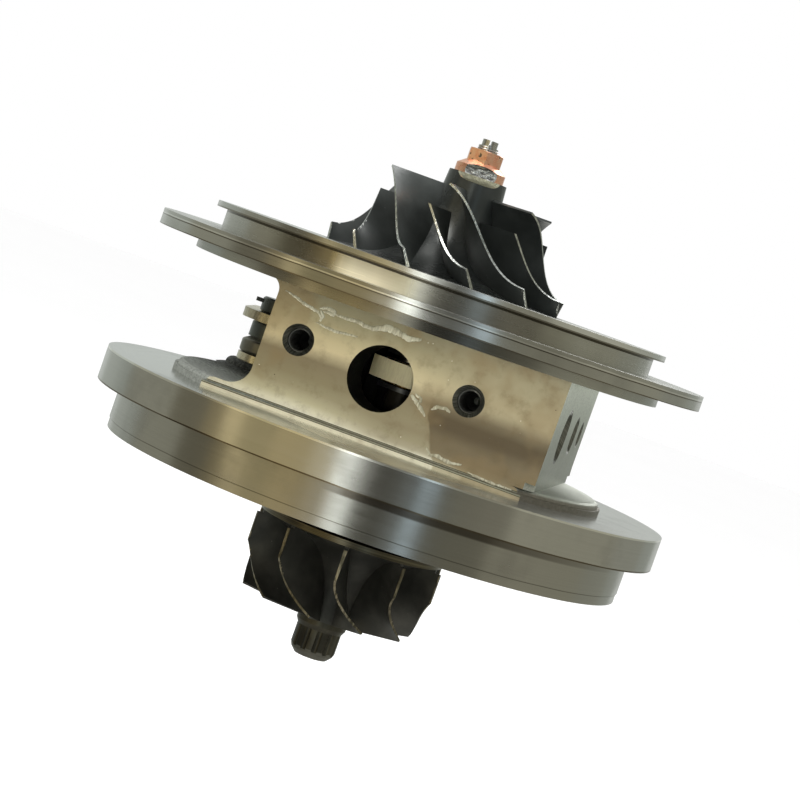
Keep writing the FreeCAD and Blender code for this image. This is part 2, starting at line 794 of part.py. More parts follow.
def flinger_sleeve():
    """Sleeve between the thrust collar and the wheel, with its oil flinger and ring grooves."""
    bore = stub_radius + stub_fit_clearance
    flange_top = sleeve_flange_bottom_z + sleeve_flange_thickness
    sleeve = revolve([(bore, collar_top_z), (sleeve_hub_radius, collar_top_z),
                      (sleeve_hub_radius, sleeve_flange_bottom_z),
                      (sleeve_flange_radius, sleeve_flange_bottom_z),
                      (sleeve_flange_radius, flange_top), (sleeve_radius, flange_top),
                      (sleeve_radius, wheel_back_z), (bore, wheel_back_z)])
    floor = seal_bore_radius - piston_ring_width - piston_ring_back_gap
    grooves = [tube(sleeve_radius + overrun, floor, z - piston_ring_side_play,
                    z + piston_ring_thickness + piston_ring_side_play)
               for z in compressor_ring_heights()]
    return sleeve.cut(grooves)


def compressor_seal_rings():
    outer = seal_bore_radius - piston_ring_wall_gap
    rings = [split_ring(outer, seal_bore_radius - piston_ring_width, z, piston_ring_thickness,
                        piston_ring_gap, 180.0 * i)
             for i, z in enumerate(compressor_ring_heights())]
    return Part.makeCompound(rings)


def turbine_seal_ring():
    outer = turbine_seal_bore_radius - piston_ring_wall_gap
    return split_ring(outer, turbine_seal_bore_radius - piston_ring_width, turbine_ring_z,
                      piston_ring_thickness, piston_ring_gap, 0.0)


def rotor_shaft():
    """Journals, seal hub and threaded stub in one turned shaft."""
    relief = journal_radius - journal_relief
    slinger_top = seal_hub_top_z + slinger_height
    relief_from = turbine_bearing_z + journal_bearing_length + journal_land
    relief_to = compressor_bearing_z - journal_land
    shaft = revolve([
        (0, turbine_back_z), (seal_hub_radius, turbine_back_z), (seal_hub_radius, seal_hub_top_z),
        (slinger_radius, seal_hub_top_z), (slinger_radius, slinger_top),
        (journal_radius, slinger_top), (journal_radius, relief_from), (relief, relief_from),
        (relief, relief_to), (journal_radius, relief_to), (journal_radius, shoulder_z),
        (stub_radius, shoulder_z), (stub_radius, nut_top_z), (thread_end_radius, nut_top_z),
        (thread_end_radius, thread_end_z), (tip_radius, thread_end_z), (tip_radius, shaft_tip_z),
        (0, shaft_tip_z)])
    floor = turbine_seal_bore_radius - piston_ring_width - piston_ring_back_gap
    ring_groove = tube(seal_hub_radius + overrun, floor, turbine_ring_z - piston_ring_side_play,
                       turbine_ring_z + piston_ring_thickness + piston_ring_side_play)
    slot = Part.makeBox(tip_slot_width, 4 * tip_radius, tip_slot_depth,
                        V(-tip_slot_width / 2.0, -2 * tip_radius, shaft_tip_z - tip_slot_depth))
    slot.rotate(V(0, 0, 0), V(0, 0, 1), balance_cut_angle)
    return shaft.cut([ring_groove, slot])


def balance_cutter():
    """Grinding wheel's path where the rotor was balanced, across nut flange and wheel nose."""
    reach = nut_flange_radius + balance_cutter_radius - balance_cut_depth
    length = 4 * nut_flange_radius
    centre = polar(reach, balance_cut_angle, wheel_nose_z + balance_cut_z_in_nut)
    along = polar(1.0, balance_cut_angle + 90.0)
    return Part.makeCylinder(balance_cutter_radius, length, centre - along * (length / 2.0), along)


def hub_profile(curve):
    """Points of a radius and height curve in the XZ plane."""
    pairs = [bezier(curve, i / float(profile_steps)) for i in range(profile_steps + 1)]
    return [V(radius, 0, height) for radius, height in pairs]


def compressor_curves():
    """Hub and tip curves of the compressor blades."""
    drop = wheel_inlet_z - wheel_outlet_tip_z
    reach = exducer_radius - inducer_radius
    tip = [(inducer_radius, wheel_inlet_z),
           (inducer_radius, wheel_outlet_tip_z + compressor_tip_bend_height * drop),
           (inducer_radius + compressor_tip_bend_reach * reach, wheel_outlet_tip_z),
           (exducer_radius, wheel_outlet_tip_z)]
    fall = wheel_inlet_z - wheel_outlet_hub_z
    spread = exducer_radius - inlet_hub_radius
    hub = [(inlet_hub_radius, wheel_inlet_z),
           (inlet_hub_radius, wheel_outlet_hub_z + compressor_hub_bend_height * fall),
           (inlet_hub_radius + compressor_hub_bend_reach * spread,
            wheel_outlet_hub_z + compressor_hub_rise * fall),
           (exducer_radius, wheel_outlet_hub_z)]
    return hub, tip


def compressor_hub():
    """Hub of the compressor wheel with its back disc and nose."""
    hub_curve, _ = compressor_curves()
    bore = stub_radius + stub_fit_clearance
    profile = [Part.makeLine(V(bore, 0, wheel_back_z), V(exducer_radius, 0, wheel_back_z)),
               Part.makeLine(V(exducer_radius, 0, wheel_back_z), V(exducer_radius, 0, wheel_outlet_hub_z))]
    profile.append(spline(hub_profile(hub_curve)[::-1]))
    profile += [Part.makeLine(V(inlet_hub_radius, 0, wheel_inlet_z), V(wheel_nose_radius, 0, wheel_nose_z)),
                Part.makeLine(V(wheel_nose_radius, 0, wheel_nose_z), V(bore, 0, wheel_nose_z)),
                Part.makeLine(V(bore, 0, wheel_nose_z), V(bore, 0, wheel_back_z))]
    return Part.Face(Part.Wire(profile)).revolve(V(0, 0, 0), V(0, 0, 1), 360).cut(balance_cutter())


def compressor_blades():
    """Full blades and splitters, each a solid that stands on the hub."""
    hub_curve, tip_curve = compressor_curves()
    start = math.sqrt(compressor_wrap_start)
    full = math.sqrt(1.0 + compressor_wrap_start) - start

    def wrap(t):
        share = (math.sqrt(t + compressor_wrap_start) - start) / full
        return compressor_inlet_angle + compressor_wrap * share

    def wrap_at_hub(t):
        return wrap(t) + compressor_outlet_lean * t

    full_blade = blade(hub_curve, tip_curve, wrap_at_hub, wrap,
                       compressor_root_thickness, compressor_tip_thickness, compressor_blade_sink)
    full_blade = full_blade.cut(compressor_hub())
    above = cylinder(exducer_radius, wheel_inlet_z - splitter_drop, wheel_inlet_z + overrun)
    splitter = full_blade.cut(above)
    blades = around(full_blade, compressor_blade_count)
    blades += around(splitter, compressor_blade_count, 180.0 / compressor_blade_count)
    return Part.makeCompound(blades)


def compressor_nut():
    """Flanged nut: round foot, cone and hexagon."""
    foot_top = wheel_nose_z + nut_flange_height
    corner = nut_across_flats / math.sqrt(3.0)
    foot = revolve([(0, wheel_nose_z), (nut_flange_radius, wheel_nose_z), (nut_flange_radius, foot_top),
                    (nut_across_flats / 2.0, nut_hex_bottom_z), (0, nut_hex_bottom_z)])
    corners = [polar(corner, nut_corner_angle + 60.0 * i, foot_top) for i in range(6)]
    hexagon = Part.Face(Part.makePolygon(corners + corners[:1])).extrude(V(0, 0, nut_top_z - foot_top))
    bevel = revolve([(0, foot_top), (nut_flange_radius, foot_top),
                     (nut_flange_radius, nut_top_z - nut_bevel_height),
                     (corner - nut_bevel_width, nut_top_z), (0, nut_top_z)])
    bore = cylinder(stub_radius + stub_fit_clearance, wheel_nose_z - overrun, nut_top_z + overrun)
    return foot.fuse(hexagon.common(bevel)).cut([bore, balance_cutter()]).removeSplitter()


def turbine_curves():
    """Hub and tip curves of the turbine blades."""
    back_bottom = turbine_back_z - turbine_back_thickness
    hub_curve = [(turbine_inlet_radius, back_bottom),
                 (turbine_hub_bend_share * turbine_inlet_radius, back_bottom - turbine_hub_bend_drop),
                 (turbine_hub_radius + turbine_hub_flare, back_bottom - turbine_hub_flare_drop),
                 (turbine_hub_radius, turbine_outlet_hub_z)]
    fall = turbine_inlet_end_z - turbine_outlet_tip_z
    narrowing = turbine_inlet_radius - turbine_outlet_radius
    tip_curve = [(turbine_inlet_radius, turbine_inlet_end_z),
                 (turbine_inlet_radius - turbine_tip_bend_reach * narrowing,
                  turbine_inlet_end_z - turbine_tip_bend_drop * fall),
                 (turbine_outlet_radius + turbine_tip_end_reach * narrowing,
                  turbine_inlet_end_z - turbine_tip_end_drop * fall),
                 (turbine_outlet_radius, turbine_outlet_tip_z)]
    return hub_curve, tip_curve


def turbine_hub():
    """Back disc, hub and fluted drive nose of the turbine wheel."""
    steps = hub_profile(turbine_curves()[0])
    first = steps[0]
    last = steps[-1]
    profile = [Part.makeLine(V(0, 0, turbine_back_z), V(first.x, 0, turbine_back_z)),
               Part.makeLine(V(first.x, 0, turbine_back_z), first), spline(steps),
               Part.makeLine(last, V(0, 0, last.z)), Part.makeLine(V(0, 0, last.z), V(0, 0, turbine_back_z))]
    hub = Part.Face(Part.Wire(profile)).revolve(V(0, 0, 0), V(0, 0, 1), 360)
    hub = hub.common(cylinder(turbine_back_radius, last.z - overrun, turbine_back_z + overrun))
    return hub.fuse(drive_nose()).removeSplitter()


def turbine_blades():
    """Ten blades, each a solid that stands on the hub and on the back disc."""
    hub_curve, tip_curve = turbine_curves()
    fall = turbine_inlet_end_z - turbine_outlet_tip_z

    def wrap_at_tip(t):
        return turbine_wrap * ((turbine_inlet_end_z - bezier(tip_curve, t)[1]) / fall) ** 2

    def wrap_at_hub(t):
        return turbine_wrap * t * t

    vane = blade(hub_curve, tip_curve, wrap_at_hub, wrap_at_tip,
                 turbine_root_thickness, turbine_tip_thickness, turbine_blade_sink)
    notch = tube(turbine_inlet_radius + overrun, turbine_back_radius,
                 turbine_back_z - turbine_back_thickness - turbine_notch, turbine_back_z)
    vane = vane.cut([notch, turbine_hub()])
    return Part.makeCompound(around(vane, turbine_blade_count, turbine_first_angle))


def drive_nose():
    """Collar, fluted grip and rounded end below the turbine blades."""
    collar_bottom = turbine_outlet_hub_z - drive_collar_height
    taper_bottom = collar_bottom - drive_taper_height
    grip_bottom = taper_bottom - drive_length
    end = grip_bottom - drive_end_height
    collar = turbine_hub_radius - drive_collar_step
    inside = turbine_outlet_hub_z + overrun
    nose = revolve([(0, inside), (collar, inside), (collar, collar_bottom),
                    (drive_radius, taper_bottom), (drive_radius, grip_bottom),
                    (drive_radius - drive_end_bend_width, grip_bottom - drive_end_bend_height),
                    (drive_end_radius, end), (0, end)])
    flute = cylinder(flute_radius, grip_bottom - flute_run_out, taper_bottom,
                     drive_radius + flute_radius - flute_depth, 0.0)
    return nose.cut(around(flute, flute_count, 180.0 / flute_count))


def heat_shield():
    """Pressed cup with a flat rim in the recess and a nose behind the turbine wheel."""
    rim = shield_recess_radius - shield_rim_clearance
    hole = seal_hub_radius + shield_hole_gap
    t = shield_thickness
    return revolve([
        (rim, recess_floor_z), (rim, recess_floor_z - t), (shield_shoulder_radius, recess_floor_z - t),
        (shield_nose_radius, shield_nose_z), (hole, shield_nose_z), (hole, shield_nose_z + t),
        (shield_nose_radius - shield_bend_width, shield_nose_z + t),
        (shield_shoulder_radius - shield_bend_width, recess_floor_z)])


def nozzle_dowel():
    """Stepped dowel: thick shank in the housing, thinner end standing out."""
    place = polar(dowel_circle_radius, dowel_angle)
    bottom = pilot_bottom_z - dowel_reach
    top = pilot_bottom_z + dowel_depth - blind_end_room
    pin = cylinder(dowel_radius, bottom, pilot_bottom_z, place.x, place.y)
    rim = [e for e in pin.Edges if e.BoundBox.ZMax < bottom + 0.01]
    shank = cylinder(dowel_shank_radius, pilot_bottom_z, top, place.x, place.y)
    return pin.makeChamfer(dowel_chamfer, rim).fuse(shank)


def crank_bush():
    bore = crank_radius + crank_running_clearance
    shell = tube(bush_radius, bore, pilot_bottom_z, dome_top_z, crank_x, crank_y)
    collar = tube(bush_collar_radius, bore, dome_top_z, bush_top_z, crank_x, crank_y)
    return shell.fuse(collar).removeSplitter()


def crank_shaft():
    shaft = cylinder(crank_radius, inner_arm_bottom_z, lever_top_z, crank_x, crank_y)
    rim = [e for e in shaft.Edges if e.BoundBox.ZMin > lever_top_z - 0.01]
    return shaft.makeChamfer(crank_chamfer, rim)


def inner_crank_arm():
    """Arm inside the turbine housing, with the finger that moves the vane ring."""
    plate = arm(crank_x, crank_y, inner_arm_hub_radius, inner_arm_tip_radius, inner_arm_length,
                inner_arm_angle, inner_arm_bottom_z, inner_arm_top_z)
    place = beside(crank_x, crank_y, inner_arm_length, inner_arm_angle)
    finger = cylinder(finger_radius, inner_arm_bottom_z - finger_length, inner_arm_bottom_z,
                      place.x, place.y)
    bore = cylinder(crank_radius + lever_fit_clearance, inner_arm_bottom_z - overrun,
                    inner_arm_top_z + overrun, crank_x, crank_y)
    return plate.fuse(finger).cut(bore)


def link_pin_place():
    return beside(crank_x, crank_y, lever_length, lever_angle)


def lever_arm():
    plate = arm(crank_x, crank_y, lever_hub_radius, lever_tip_radius, lever_length, lever_angle,
                lever_bottom_z, lever_top_z)
    rims = [e for e in plate.Edges if abs(e.BoundBox.ZMax - e.BoundBox.ZMin) < 0.01]
    plate = plate.makeFillet(lever_edge_fillet, rims)
    pin = link_pin_place()
    below = lever_bottom_z - overrun
    above = lever_top_z + overrun
    bore = cylinder(crank_radius + lever_fit_clearance, below, above, crank_x, crank_y)
    rivet = cylinder(link_pin_rivet_radius + lever_fit_clearance, below, above, pin.x, pin.y)
    return plate.cut([bore, rivet])


def split_pin_axis():
    pin = link_pin_place()
    centre = V(pin.x, pin.y, split_pin_z)
    a = math.radians(split_pin_angle)
    return centre, V(math.cos(a), math.sin(a), 0)


def split_pin_rod(radius, half_length):
    centre, along = split_pin_axis()
    return Part.makeCylinder(radius, 2 * half_length, centre - along * half_length, along)


def link_pin():
    """Stepped pin: rivet in the lever, shoulder, journal for the link and cross-drilled end."""
    place = link_pin_place()
    rivet = cylinder(link_pin_rivet_radius, lever_bottom_z, lever_top_z, place.x, place.y)
    shoulder = cylinder(link_pin_shoulder_radius, lever_top_z, link_pin_shoulder_z, place.x, place.y)
    rims = [e for e in shoulder.Edges if e.BoundBox.ZMin > link_pin_shoulder_z - 0.01]
    shoulder = shoulder.makeChamfer(link_pin_chamfer, rims)
    journal = cylinder(link_pin_radius, link_pin_shoulder_z, pin_collar_top_z, place.x, place.y)
    hole = split_pin_rod(split_pin_radius + split_pin_clearance, 2 * pin_collar_radius)
    return rivet.fuse([shoulder, journal]).cut(hole).removeSplitter()


def link_plate():
    """Link from the lever's pin towards the actuator, with an eye at each end."""
    place = link_pin_place()
    plate = arm(place.x, place.y, link_near_radius, link_far_radius, link_length, link_angle,
                link_bottom_z, link_top_z)
    far = beside(place.x, place.y, link_length, link_angle)
    below = link_bottom_z - overrun
    above = link_top_z + overrun
    near_eye = cylinder(link_pin_radius + link_running_clearance, below, above, place.x, place.y)
    far_eye = cylinder(link_far_hole_radius, below, above, far.x, far.y)
    return plate.cut([near_eye, far_eye])


def pin_collar():
    place = link_pin_place()
    ring = cylinder(pin_collar_radius, pin_collar_bottom_z, pin_collar_top_z, place.x, place.y)
    rims = [e for e in ring.Edges if abs(e.BoundBox.ZMax - e.BoundBox.ZMin) < 0.01]
    ring = ring.makeChamfer(pin_collar_chamfer, rims)
    bore = cylinder(link_pin_radius + pin_collar_clearance, pin_collar_bottom_z - overrun,
                    pin_collar_top_z + overrun, place.x, place.y)
    hole = split_pin_rod(split_pin_radius + split_pin_clearance, 2 * pin_collar_radius)
    return ring.cut([bore, hole])


def split_pin():
    """Straight shank through collar and pin, with a round eye at its inner end."""
    half = pin_collar_radius + split_pin_overhang
    centre, along = split_pin_axis()
    eye_place = centre + along * (half + split_pin_eye_radius)
    eye = Part.makeTorus(split_pin_eye_radius, split_pin_radius, eye_place, V(0, 0, 1))
    return split_pin_rod(split_pin_radius, half).fuse(eye).removeSplitter()


PARTS = {
    "bearing_housing": bearing_housing,
    "compressor_backplate": compressor_backplate,
    "backplate_screws": backplate_screws,
    "backplate_seal_ring": backplate_seal_ring,
    "compressor_wheel_hub": compressor_hub,
    "compressor_wheel_blades": compressor_blades,
    "compressor_nut": compressor_nut,
    "rotor_shaft": rotor_shaft,
    "turbine_wheel_hub": turbine_hub,
    "turbine_wheel_blades": turbine_blades,
    "flinger_sleeve": flinger_sleeve,
    "thrust_collar": thrust_collar,
    "thrust_bearing": thrust_bearing,
    "thrust_bearing_pins": thrust_bearing_pins,
    "oil_deflector": oil_deflector,
    "compressor_seal_rings": compressor_seal_rings,
    "turbine_seal_ring": turbine_seal_ring,
    "journal_bearing_compressor": lambda: journal_bearing(compressor_bearing_z),
    "journal_bearing_turbine": lambda: journal_bearing(turbine_bearing_z),
    "bearing_snap_rings": bearing_snap_rings,
    "heat_shield": heat_shield,
    "nozzle_dowel": nozzle_dowel,
    "crank_bush": crank_bush,
    "crank_shaft": crank_shaft,
    "inner_crank_arm": inner_crank_arm,
    "lever_arm": lever_arm,
    "link_pin": link_pin,
    "link_plate": link_plate,
    "pin_collar": pin_collar,
    "split_pin": split_pin,
}

os.makedirs("parts", exist_ok=True)
for name, make in PARTS.items():
    shape = make()
    shape.exportStep("parts/" + name + ".step")
    print(name, len(shape.Solids), round(shape.Volume, 1), shape.isValid())
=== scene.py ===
import math
import random

import bmesh
import bpy
from mathutils import Matrix, Vector


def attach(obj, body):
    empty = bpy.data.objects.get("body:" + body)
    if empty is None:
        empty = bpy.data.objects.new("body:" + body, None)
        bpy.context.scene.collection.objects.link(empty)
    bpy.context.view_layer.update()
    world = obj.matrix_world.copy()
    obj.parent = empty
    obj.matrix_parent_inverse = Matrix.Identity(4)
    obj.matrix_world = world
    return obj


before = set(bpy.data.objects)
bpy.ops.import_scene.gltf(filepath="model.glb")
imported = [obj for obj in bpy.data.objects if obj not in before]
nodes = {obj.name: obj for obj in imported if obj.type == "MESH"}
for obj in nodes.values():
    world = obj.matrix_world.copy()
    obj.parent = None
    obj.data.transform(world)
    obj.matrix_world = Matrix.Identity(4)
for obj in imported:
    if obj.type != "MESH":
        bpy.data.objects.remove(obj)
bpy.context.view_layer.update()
MM = 0.001

# Sizes that the looks share with the CAD solids, in millimetres
DRAIN_FACE_Y = -34.35
FEED_FACE_X = 37.8
FLANGE_TOP = 7.35
BOSS_TOP = 9.8
STEP_BOTTOM = 33.9
BOSS_RADIUS = 49.5
STEP_RADIUS = 53.4
DRAIN_Z = 21.2
DRAIN_RADIUS = 7.0
BARREL_RADIUS = 9.3
WINDOW_TOP = 20.0
CRANK_X = -35.3
CRANK_Y = 20.0
NOSE_Z = 68.3
NUT_TOP = 74.25
STUD_CORE = 2.2
BALANCE_ANGLE = 12.0
BALANCE_REACH = 6.8
BALANCE_RISE = 0.95
BALANCE_CUT_RADIUS = 2.5

# Screw holes beside the drain, as x and z
DRAIN_SCREWS = ((-19.0, 23.05), (19.0, 23.05))
SCREW_CORE = 2.5

# Holes in the feed face, as y, core radius, pitch and length of thread
FEED_HOLES = ((-11.4, 5.25, 1.5, 9.0), (10.7, 3.4, 1.25, 9.0), (25.0, 2.5, 1.0, 6.5))
FEED_Z = 21.6

# Ends of the blade tips as radius and height, and how far along each way the handles of their curves stand
COMPRESSOR_TIP = ((19.2, 64.5), (27.3, 48.6))
COMPRESSOR_BENDS = ((0.0, 0.59), (0.31, 1.0))
TURBINE_TIP = ((22.3, -22.95), (19.5, -32.75))
TURBINE_BENDS = ((0.5, 0.23), (0.86, 0.57))

# Bounds of the zones in which a solid changes its look, in millimetres
SCREW_CHAMFER = 3.45
SCREW_REACH = 14.0
FEED_CHAMFER_SHARE = 1.33
FEED_REACH = 15.5
CAVITY_RADIUS = 19.1
CAVITY_BOTTOM = -5.1
CAVITY_TOP = 28.2
PILOT_INNER_RADIUS = 55.0
GROOVE_BOTTOM = 39.4
GROOVE_TOP = 43.7
RIM_BOTTOM = 43.6
RIM_INNER_RADIUS = 51.0
COMPRESSOR_OUTLET_RADIUS = 27.0
TURBINE_INLET_RADIUS = 22.0
TURBINE_INLET_END_Z = -23.2
TURBINE_DISC_RADIUS = 20.5
TURBINE_NOSE_Z = -35.0
TURBINE_END_Z = -41.6

# Camera in millimetres and degrees, as the photograph was taken
CAMERA_PLACE = (86.86, -550.9, 47.79)
CAMERA_HEADING = (-0.1557, 0.9878)
CAMERA_DOWN = 3.207
CAMERA_ROLL = 19.43
CAMERA_LENS = 113.96
CAMERA_AZIMUTH = 8.96

# Studio, in metres
DRAIN_LAMP = (0.105, -0.62, 0.032)
FLOOR_HALF = 6.0
FLOOR_Z = -0.20
ROOM_RADIUS = 2.4
ROOM_HALF_HEIGHT = 2.2
ROOM_SIDES = 45
CARD_STEP = 4.0


def link(tree, a, b):
    tree.links.new(a, b)


class Graph:
    """Short names for the nodes that build one material."""

    def __init__(self, name):
        self.material = bpy.data.materials.new(name)
        self.material.use_nodes = True
        self.tree = self.material.node_tree
        self.tree.nodes.clear()
        self.output = self.tree.nodes.new("ShaderNodeOutputMaterial")
        self.shader = self.tree.nodes.new("ShaderNodeBsdfPrincipled")
        link(self.tree, self.shader.outputs[0], self.output.inputs[0])
        self.place = self.tree.nodes.new("ShaderNodeTexCoord").outputs["Object"]

    def set(self, socket, value):
        if hasattr(value, "is_output"):
            link(self.tree, value, socket)
        else:
            socket.default_value = value

    def math(self, operation, a, b=0.0):
        node = self.tree.nodes.new("ShaderNodeMath")
        node.operation = operation
        self.set(node.inputs[0], a)
        self.set(node.inputs[1], b)
        return node.outputs[0]

    def plus(self, a, b):
        return self.math("ADD", a, b)

    def minus(self, a, b):
        return self.math("SUBTRACT", a, b)

    def times(self, a, b):
        return self.math("MULTIPLY", a, b)

    def distance(self, a, b):
        """Length of the hypotenuse over a and b."""
        return self.math("SQRT", self.plus(self.times(a, a), self.times(b, b)))

    def split(self, vector):
        node = self.tree.nodes.new("ShaderNodeSeparateXYZ")
        self.set(node.inputs[0], vector)
        return node.outputs[:3]

    def join(self, x, y, z):
        node = self.tree.nodes.new("ShaderNodeCombineXYZ")
        for socket, value in zip(node.inputs, (x, y, z)):
            self.set(socket, value)
        return node.outputs[0]

    def scaled(self, vector, scale, shift=(0, 0, 0)):
        node = self.tree.nodes.new("ShaderNodeMapping")
        self.set(node.inputs["Vector"], vector)
        node.inputs["Scale"].default_value = scale
        node.inputs["Location"].default_value = shift
        return node.outputs[0]

    def shifted(self, shift):
        return self.scaled(self.place, (1.0, 1.0, 1.0), shift)

    def noise(self, vector, scale, detail=3.0, rough=0.55):
        node = self.tree.nodes.new("ShaderNodeTexNoise")
        self.set(node.inputs["Vector"], vector)
        node.inputs["Scale"].default_value = scale
        node.inputs["Detail"].default_value = detail
        node.inputs["Roughness"].default_value = rough
        return node.outputs["Fac"]

    def cells(self, vector, scale):
        node = self.tree.nodes.new("ShaderNodeTexVoronoi")
        self.set(node.inputs["Vector"], vector)
        node.inputs["Scale"].default_value = scale
        return node.outputs["Distance"]

    def range(self, value, low, high, to_low=0.0, to_high=1.0):
        node = self.tree.nodes.new("ShaderNodeMapRange")
        node.interpolation_type = "SMOOTHSTEP"
        self.set(node.inputs["Value"], value)
        node.inputs["From Min"].default_value = low
        node.inputs["From Max"].default_value = high
        node.inputs["To Min"].default_value = to_low
        node.inputs["To Max"].default_value = to_high
        return node.outputs["Result"]

    def mix(self, factor, a, b):
        node = self.tree.nodes.new("ShaderNodeMix")
        node.data_type = "RGBA"
        self.set(node.inputs["Factor"], factor)
        for name, value in (("A", a), ("B", b)):
            socket = [s for s in node.inputs if s.name == name and s.type == "RGBA"][0]
            self.set(socket, (*value, 1.0) if isinstance(value, tuple) else value)
        return [s for s in node.outputs if s.type == "RGBA"][0]

    def ramp(self, value, stops):
        """Colours blended along a value, given as pairs of value and colour."""
        low, high = stops[0][0], stops[-1][0]
        share = self.tree.nodes.new("ShaderNodeMapRange")
        self.set(share.inputs["Value"], value)
        share.inputs["From Min"].default_value = low
        share.inputs["From Max"].default_value = high
        node = self.tree.nodes.new("ShaderNodeValToRGB")
        link(self.tree, share.outputs["Result"], node.inputs[0])
        points = node.color_ramp.elements
        while len(points) < len(stops):
            points.new(0.5)
        for point, (place, colour) in zip(points, stops):
            point.position = (place - low) / (high - low)
            point.color = (*colour, 1.0)
        return node.outputs["Color"]

    def radius(self):
        """Distance from the rotor axis."""
        x, y, _ = self.split(self.place)
        return self.distance(x, y)

    def azimuth(self):
        """Angle round the rotor axis, from the drain side towards the feed side."""
        x, y, _ = self.split(self.place)
        return self.math("ARCTAN2", x, self.times(y, -1.0))

    def turned_place(self, along):
        """Place on a turned surface: along sets how long its marks run round the axis."""
        x, y, z = self.split(self.place)
        radius = self.radius()
        return self.join(self.times(self.math("DIVIDE", x, radius), along),
                         self.times(self.math("DIVIDE", y, radius), along),
                         self.plus(z, radius))

    def specks(self, marks, field, marks_shift=None, field_shift=None):
        """Small round marks kept to patches: marks and field each hold a scale, a low and a high bound."""
        marks_place = self.shifted(marks_shift) if marks_shift else self.place
        field_place = self.shifted(field_shift) if field_shift else self.place
        dots = self.range(self.cells(marks_place, marks[0]), marks[1], marks[2], 1.0, 0.0)
        return self.times(dots, self.range(self.noise(field_place, field[0], 2.0), field[1], field[2]))

    def bump(self, height, distance, strength=1.0, normal=None):
        node = self.tree.nodes.new("ShaderNodeBump")
        node.inputs["Distance"].default_value = distance
        node.inputs["Strength"].default_value = strength
        self.set(node.inputs["Height"], height)
        if normal is not None:
            self.set(node.inputs["Normal"], normal)
        return node.outputs["Normal"]

    def tangent(self):
        node = self.tree.nodes.new("ShaderNodeTangent")
        node.direction_type = "RADIAL"
        node.axis = "Z"
        return node.outputs[0]

    def finish(self, colour, rough, metallic, normal=None, **sockets):
        self.set(self.shader.inputs["Base Color"], colour)
        self.set(self.shader.inputs["Roughness"], rough)
        self.set(self.shader.inputs["Metallic"], metallic)
        if normal is not None:
            self.set(self.shader.inputs["Normal"], normal)
        for name, value in sockets.items():
            self.set(self.shader.inputs[name.replace("_", " ")], value)
        return self.material


def by_azimuth(stops):
    """Stops in degrees with a colour or one share, turned into what a ramp takes."""
    return tuple((math.radians(degrees), value if isinstance(value, tuple) else (value,) * 3)
                 for degrees, value in stops)


def by_millimetres(stops):
    """Stops in millimetres with a colour or one share, turned into what a ramp takes."""
    return tuple((place * MM, value if isinstance(value, tuple) else (value,) * 3) for place, value in stops)


def dimmed(colour, share):
    return tuple(share * c for c in colour)


def turned(name, light, dark, rough, lines=4200.0, stain=0.25, painted_edge_bands=(), painted_light_by_azimuth=(), metallic_by_azimuth=(), shade=None,
           clean=0.62):
    """Metal turned about the rotor axis: fine rings, streaks along them, a few stains and painted light.

    Edge bands are heights between which a line is painted: bright lines are painted highlights, dark
    lines painted shade. Spans of azimuth carry painted reflections, highlights and shade. The metallic
    ramp along the azimuth sets how metallic the surface is, so that the painted colour shows where it is
    low. Shade is a painted shadow band: its low and high edge, its tint and how strong it is along the
    azimuth. Specks are rarer where clean is high.
    """
    g = Graph(name)
    rings = g.noise(g.turned_place(0.00025), lines, 2.0)
    wide = g.noise(g.turned_place(0.003), lines * 0.22, 2.0)
    patches = g.noise(g.place, 60.0, 4.0)
    colour = g.mix(g.range(rings, 0.3, 0.7), dark, light)
    z = g.split(g.place)[2]
    angle = g.azimuth()
    # Painted reflections, highlights and shade as colour along the azimuth
    if painted_light_by_azimuth:
        colour = g.mix(0.78, colour, g.ramp(angle, by_azimuth(painted_light_by_azimuth)))
    # Painted shadow band between two heights, strong along part of the azimuth
    if shade:
        low, high, tint, strength = shade
        band = g.times(g.range(z, low * MM, (low + 0.5) * MM), g.math("LESS_THAN", z, high * MM))
        colour = g.mix(g.times(band, g.ramp(angle, by_azimuth(strength))), colour, tint)
    # Metal share along the azimuth: where it is low, the painted colour shows instead of mirrored light
    metallic = g.ramp(angle, by_azimuth(metallic_by_azimuth)) if metallic_by_azimuth else 1.0
    # Bands along edges, painted brighter as highlights and darker as shade
    for low, high, tint in painted_edge_bands:
        wear_and_edge_light = g.plus(z, g.times(g.minus(patches, 0.5), 0.0003))
        inside = g.times(g.math("GREATER_THAN", wear_and_edge_light, low * MM), g.math("LESS_THAN", wear_and_edge_light, high * MM))
        colour = g.mix(inside, colour, tint)
    colour = g.mix(g.times(g.range(patches, 0.5, 0.72), stain), colour, dimmed(dark, 0.45))
    specks = g.specks((520.0, 0.05, 0.09), (170.0, clean, clean + 0.08))
    colour = g.mix(g.times(specks, 0.75), colour, (0.06, 0.055, 0.045))
    roughness = g.plus(g.times(wide, 0.1), rough - 0.05)
    roughness = g.plus(roughness, g.times(g.range(patches, 0.5, 0.8), 0.08))
    normal = g.bump(rings, 0.000002, 0.5)
    normal = g.bump(wide, 0.000004, 0.4, normal)
    return g.finish(colour, roughness, metallic, normal, Anisotropic=0.5, Anisotropic_Rotation=0.25,
                    Tangent=g.tangent())


